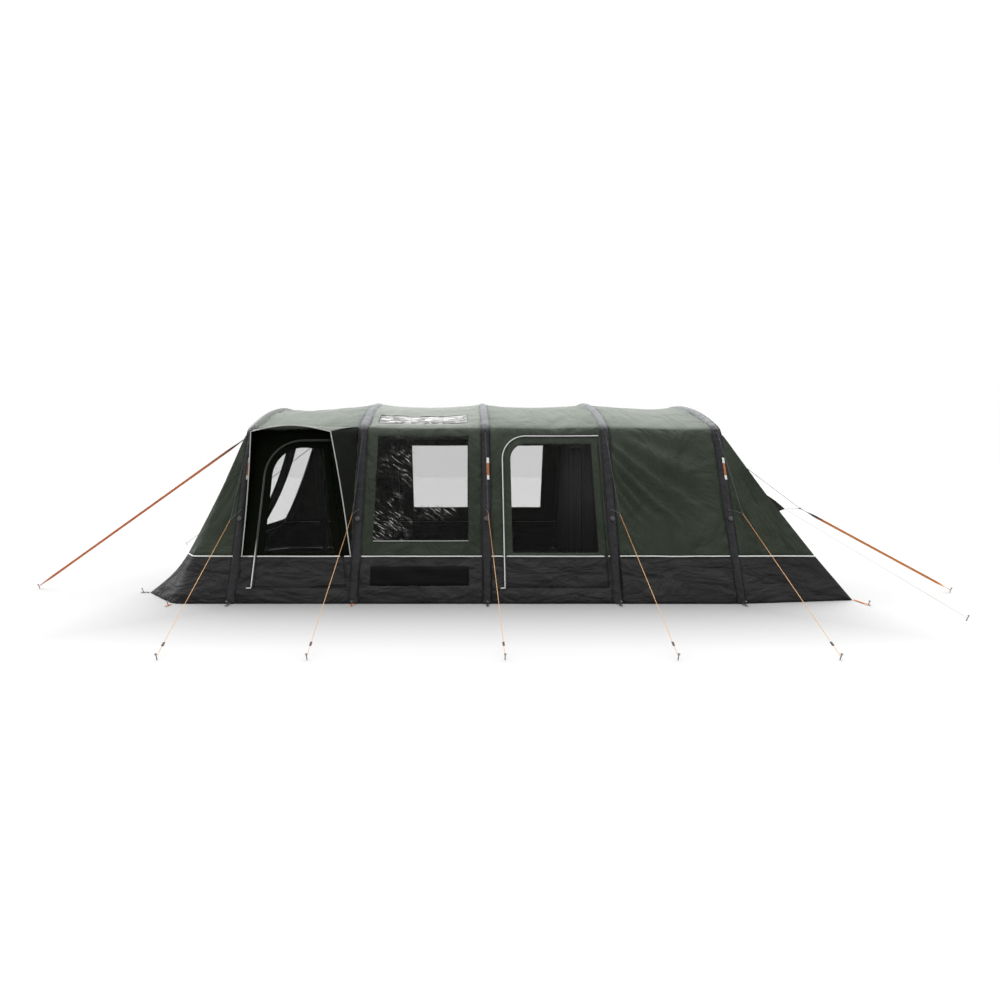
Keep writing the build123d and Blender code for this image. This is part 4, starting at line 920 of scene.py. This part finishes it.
for k, x in enumerate(BEAM_X, 1):
    rings, sides, radius = 161, 16, 0.05
    verts = []
    for i in range(rings):
        centre, out = sleeve_path(mix(0.03, GIRTH - 0.03, i / (rings - 1)), x)
        verts += [centre + Vector((cos(2 * pi * j / sides), 0, 0)) * radius + out * radius * sin(2 * pi * j / sides)
                  for j in range(sides)]
    make_object(f"air_beam_tube_{k}", verts, tube_faces(rings, sides), BLADDER, nodes=["air_beams"], slot="air_beam")


# ------------------------------------------------------------------ groundsheet
def ground(x, y):
    return Vector((x, y, 0.0022 + 0.002 * max(0.0, ridge_noise(Vector((x * 0.9, y * 1.1, 0.4))))))


half = [(FRONT_TOE + 0.02, FRONT_TOE_Y - 0.01), (FRONT_CORNER + 0.02, HALF_WIDTH - 0.02)]
for x in BEAM_X:  # a notch round each beam's foot
    half += [(x + dx, HALF_WIDTH - dy) for dx, dy in ((-0.065, 0.02), (-0.065, 0.12), (0.065, 0.12), (0.065, 0.02))]
half += [(REAR_TOE - 0.02, REAR_TOE_Y - 0.02)]
panel("groundsheet_cloth", [(x, -y) for x, y in half] + [(x, y) for x, y in half[::-1]], [], ground, GROUND, step=0.1,
      thick=0.0008, cloth="laid", nodes=["groundsheet"], slot="groundsheet")


# ------------------------------------------------------------------ bedroom
def bedroom_point(x, s, out=0.0):
    y, z, ny, nz = arch(s)
    sag = 0.03 * abs(sin(pi * (x - BEDROOM_X) / 0.6)) * step01((min(s, GIRTH - s) - 0.2) / 0.5)
    off = -BEDROOM_INSET - sag + 0.006 * noise.noise(Vector((x * 3, s * 3, 6.6)))
    return Vector((x, y + ny * off, max(z + nz * off, 0.012)))


def bedroom_back(z):
    return rear_x(z, -BEDROOM_INSET)


S_BED = 0.05
shell = []
n = 90
for i in range(n + 1):
    s = mix(S_BED, GIRTH - S_BED, i / n)
    z = arch(s)[1] - 0.06
    shell.append((min(bedroom_back(max(z, 0.0)), 3.3), s))
panel("bedroom_shell_cloth", [(BEDROOM_X + 0.004, GIRTH - S_BED), (BEDROOM_X + 0.004, S_BED)] + shell, [], bedroom_point,
      INNER, step=0.06, cloth="hung", nodes=["bedroom_shell"], slot="bedroom")


def section_loop(inset, foot):
    """The tunnel's cross-section, in (y, z), moved in by inset and cut off at foot."""
    cuts = [arch(mix(foot / COSL, GIRTH - foot / COSL, i / 79)) for i in range(80)]
    return [(y - ny * inset, z - nz * inset) for y, z, ny, nz in cuts]


def bed_front(y, z):
    return Vector((BEDROOM_X + 0.002 + 0.008 * noise.noise(Vector((y * 2.2, z * 1.1, 3.3))), y, z))


panel("bedroom_front_cloth", section_loop(BEDROOM_INSET, 0.05), [door_loop(BEDROOM_DOOR)], bed_front, INNER, step=0.05,
      cloth="hung", nodes=["bedroom_front"], slot="bedroom")
panel("bedroom_door_cloth", door_loop(BEDROOM_DOOR, DOOR_GAP), [], bed_front, INNER, step=0.05, cloth="hung",
      body="bedroom_door_panel", nodes=["bedroom_door"], slot="bedroom")


def bed_back(y, z):
    return Vector((bedroom_back(z) - 0.01 * noise.noise(Vector((y * 2, z * 2, 5.5))), y, z))


panel("bedroom_back_cloth", end_outline(lambda z: (0.0, leg_y(z, BEDROOM_INSET) - 0.02), 0.02, 1.72, 20), [], bed_back,
      INNER, step=0.07, cloth="hung", nodes=["bedroom_shell"], slot="bedroom")
panel("bedroom_floor_cloth", rect(BEDROOM_X + 0.01, 3.36, -1.86, 1.86), [],
      lambda x, y: Vector((x, y, 0.011 + 0.001 * noise.noise(Vector((x * 4, y * 4, 1))))), GROUND, step=0.15,
      cloth="laid", nodes=["bedroom_floor"], slot="groundsheet")


# ------------------------------------------------------------------ rear vent hood
hood_n = 60
verts, faces = [], []
for i in range(hood_n + 1):
    y = mix(-HOOD_HALF, HOOD_HALF, i / hood_n)
    droop = 0.012 * sin(6 * pi * i / hood_n) * sin(pi * i / hood_n)
    top = Vector((rear_x(HOOD_TOP_Z) + 0.004, y, HOOD_TOP_Z))
    tip = Vector((HOOD_TIP[0] - abs(droop), y, HOOD_TIP[1] - abs(droop)))
    for j in range(9):
        p = top.lerp(tip, j / 8)
        p.z += 0.008 * sin(pi * j / 8)
        verts.append(p)
for i in range(hood_n):
    for j in range(8):
        faces.append((i * 9 + j, i * 9 + j + 1, (i + 1) * 9 + j + 1, (i + 1) * 9 + j))
hood = make_object("rear_hood_cloth", verts, faces, MUD, nodes=["rear_vent_hood"], slot="fly_wall")
thicken(hood, 0.002, -1.0)
for side, word in ((-1, "near"), (1, "far")):
    y = side * HOOD_HALF
    a = Vector((rear_x(HOOD_TOP_Z) + 0.004, y, HOOD_TOP_Z))
    b = Vector((HOOD_TIP[0], y, HOOD_TIP[1]))
    c = Vector((rear_x(HOOD_TIP[1] - 0.03) + 0.004, y, HOOD_TIP[1] - 0.03))
    rows = 8
    verts, faces, index = [], [], {}
    for i in range(rows + 1):
        for j in range(rows + 1 - i):
            u, v = i / rows, j / rows
            index[i, j] = len(verts)
            q = a * (1 - u - v) + b * u + c * v
            q.y -= side * 0.006 * sin(pi * u) * sin(pi * v)
            verts.append(q)
    for i in range(rows):
        for j in range(rows - i):
            faces.append((index[i, j], index[i + 1, j], index[i, j + 1]))
            if i + j < rows - 1:
                faces.append((index[i + 1, j], index[i + 1, j + 1], index[i, j + 1]))
    cheek = make_object(f"rear_hood_cheek_{word}", verts, faces, MUD, nodes=["rear_vent_hood"], slot="fly_wall")
    thicken(cheek, 0.002, -1.0)

# ------------------------------------------------------------------ porch hood
HOOD_LEFT, HOOD_RIGHT = BEAM_X[0] + 0.058, BEAM_X[1] - 0.052
S_HOOD = LEG_LEN + 0.72 * SHOULDER_LEN
RIM_FOOT = Vector((RIM_X[0], fly(HOOD_RIGHT, S_MUD).y - 0.012, MUD_TOP + 0.005))
LEFT_FOOT = Vector((HOOD_LEFT + 0.002, RIM_FOOT.y, RIM_FOOT.z))


def hood_lip(u):
    """The lip's arched line, u from 0 at the front to 1 at the rear."""
    return Vector((mix(HOOD_LEFT + 0.002, RIM_X[1], u), RIM_Y, RIM_Z + 0.066 * sin(pi * u)))


def hood_top_point(u, v):
    back = fly(mix(HOOD_LEFT, HOOD_RIGHT, u), S_HOOD, out=0.003, wrinkle=0)
    p = back.lerp(hood_lip(u), v)
    p.z += 0.01 * sin(pi * v) * (1 - 0.5 * sin(pi * u)) + 0.003 * v * (1 - v) * noise.noise(p * 9)
    return p


def hood_side_point(front, t, w):
    """On a side of the hood: t from 0 at the lip to 1 at the foot, w from 0 at the rim to 1 on the wall."""
    top, foot = (hood_lip(0), LEFT_FOOT) if front else (hood_lip(1), RIM_FOOT)
    rim = top.lerp(foot, t)
    rim.x += 0.012 * sin(pi * t)
    back = fly(HOOD_LEFT if front else HOOD_RIGHT, mix(S_HOOD, S_MUD + 0.004, t), out=0.003, wrinkle=0)
    p = rim.lerp(back, w)
    p.y += 0.012 * sin(pi * w) * sin(pi * t)
    p.y += 0.02 * w * (1 - w) * noise.noise(Vector((p.x * 9 + p.z * 6, p.z * 9, 2)))
    return p


# painted light on the hood's top, and painted shade on its two sides
for name, place, n, m, material, slot, flat in (
        ("top", hood_top_point, 40, 12, ROOF, "fly_roof", (1.1, 0.26)),
        ("rear_side", lambda t, w: hood_side_point(False, t, w), 48, 14, GUSSET_SHADE, "fly_wall", (1.34, 0.36)),
        ("front_side", lambda t, w: hood_side_point(True, t, w), 40, 8, SHADE, "fly_wall", (1.34, 0.25))):
    obj, area = grid_cloth(f"porch_hood_{name}", place, n, m, material, ["porch_hood"], slot)
rim = [hood_side_point(True, 1 - k / 40, 0) for k in range(40)] + [hood_lip(k / 30) for k in range(31)]
rim += [hood_side_point(False, k / 40, 0) for k in range(1, 41)]
rim = [LEFT_FOOT + Vector((0.06, 0.004, -0.004)), LEFT_FOOT + Vector((0.03, 0, -0.004)), *rim]
sweep("porch_hood_piping", rim, [Vector((0, -1, 0.1))] * len(rim), oval(0.011, 0.008), HOOD_PIPING)

# ------------------------------------------------------------------ piping and zips
for k, (low, high) in enumerate(BAYS):
    near = [("near", low, high, S_MUD, "tent")]
    if k in DOORS:  # the door's part turns with it
        key, door = DOORS[k]
        hinge = hinge_x(door, MUD_TOP)
        near = [("near_front", low, door[0] - 0.012, S_MUD, "tent"),
                ("near_door", door[0] + 0.02, hinge - 0.03, S_MUD, f"{key}_panel"),
                ("near_rear", hinge + 0.012, high, S_MUD, "tent")]
    for word, start, end, s, body in [*near, ("far", low, high, GIRTH - S_MUD, "tent")]:
        if end - start > 0.015:
            piping(f"mud_piping_{word}_{k + 1}", [(start, s), (end, s)], lambda x, q: fly(x, q, out=0.002), width=0.013,
                   body=body)
for key, place, edge in (("front", front_wall, front_edge), ("rear", rear_wall, rear_edge)):
    front = key == "front"
    half = edge(MUD_TOP)[1]
    piping(f"mud_piping_{key}", [(-half, MUD_TOP), (half, MUD_TOP)], place, flip=front)
    for side, word in ((-1, "near"), (1, "far")):
        piping(f"mud_piping_{key}_{word}", [(k / 20, MUD_TOP) for k in range(21)],
               lambda w, z: end_side(w, z, side, front), flip=(side > 0) != front)
for key, door in (DOORS[2], DOORS[0]):
    clear = 0.0035  # the piping stands this far outside the opening
    piping(f"{key}_zip_piping", to_s([*door_loop(door, -clear)[:1:-1], (door[0] - clear, SILL)]),
           lambda x, s: fly(x, s, out=0.004, wrinkle=0.3), DIM_PIPING if key == "porch_door" else PIPING, 0.011, 0.008)
    piping(f"{key}_zip_foot", to_s([(door[0], SILL), (door[0] - 0.05, SILL - 0.004)]), lambda x, s: mud(x, s, out=0.005),
           width=0.012, height=0.008)
    piping(f"{key}_zip_tape", to_s(door_loop(door, DOOR_GAP + 0.004)[1:]), lambda x, s: fly(x, s, out=0.002), ZIP, 0.012,
           0.005, body=f"{key}_panel")
piping("side_window_lower_piping", to_s([(x, SIDE_WINDOW[2]) for x in SIDE_WINDOW[:2]]), lambda x, s: fly(x, s, out=0.003),
       HOOD_PIPING, 0.008, 0.005)

# ------------------------------------------------------------------ tags on three sleeves
for k in (0, 2, 4):
    n = 16
    path, normals = [], []
    for i in range(n + 1):
        centre, out = sleeve_path(mix(1.21, 1.44, i / n) / COSL, BEAM_X[k] + 0.022)
        path.append(centre + out * (SLEEVE_R - 0.002))
        normals.append(out + Vector((0.35, 0, 0)))
    sweep(f"stripe_tag_{k + 1}", path, normals, [(-0.014, 0), (0.014, 0), (0.014, 0.002), (-0.014, 0.002)], [TAG, PIPING],
          face_slots=[0 if 2 < f // 4 < 12 else 1 for f in range(n * 4)] + [0, 0], smooth=False)

# ------------------------------------------------------------------ CAD nodes that stay
LOOKS = {"valve_bodies": BLACK, "valve_cap": CAP, "base_pegs": STEEL, "line_pegs": STEEL, "webbing_loops": LOOPS,
         "line_junctions": BLACK, "line_runner": BLACK, "side_door_zip_slider": BLACK, "porch_door_zip_slider": BLACK}
for name, obj in NODES.items():
    look = next((look for start, look in LOOKS.items() if name.startswith(start)), None)
    if look and not obj.hide_render:
        if not obj.material_slots:
            obj.data.materials.append(look)
        for slot in obj.material_slots:
            slot.material = look

# ------------------------------------------------------------------ floor and light
mesh = bpy.data.meshes.new("floor")
mesh.from_pydata([(-60, -60, -0.0006), (60, -60, -0.0006), (60, 60, -0.0006), (-60, 60, -0.0006)], [], [(0, 1, 2, 3)])
floor = bpy.data.objects.new("floor", mesh)
COLLECTION.objects.link(floor)
m, nt, b, at = new_material("floor_pale", (0.505, 0.505, 0.505), 0.95, Specular_IOR_Level=0.0)
spot = add(nt, "SeparateXYZ", Vector=at).outputs  # painted shadow: the floor's colour is darker close to the tent
past = [maths(nt, "SUBTRACT", maths(nt, "ABSOLUTE", spot[axis]), half) for axis, half in (("X", 2.3), ("Y", 2.0))]
put(b, Base_Color=remap(nt, maths(nt, "MAXIMUM", *past), -0.3, 1.5, 0.3, 0.52))
mesh.materials.append(m)

world = bpy.context.scene.world or bpy.data.worlds.new("world")
bpy.context.scene.world = world
world.use_nodes = True
nt = world.node_tree
way = add(nt, "SeparateXYZ", Vector=add(nt, "TexCoord").outputs["Generated"]).outputs
sky = add(nt, "Mix", data_type="FLOAT", Factor=remap(nt, way["Y"], -0.35, 0.3),  # brighter above and behind the tent
          A=remap(nt, way["Z"], 0.2, 1.0, 0.44, 1.3), B=remap(nt, way["Z"], 0.13, 0.45, 1.0, 3.5))
put(nt.nodes["Background"], Color=(1, 1, 1, 1), Strength=sky.outputs["Result"])
bpy.context.scene.view_settings.view_transform = "Standard"

data = bpy.data.lights.new("overhead", "AREA")
data.shape, data.size, data.energy = "SQUARE", 5.0, 20
light = bpy.data.objects.new("overhead", data)
light.location = (-1.5, 1.0, 7.5)
COLLECTION.objects.link(light)
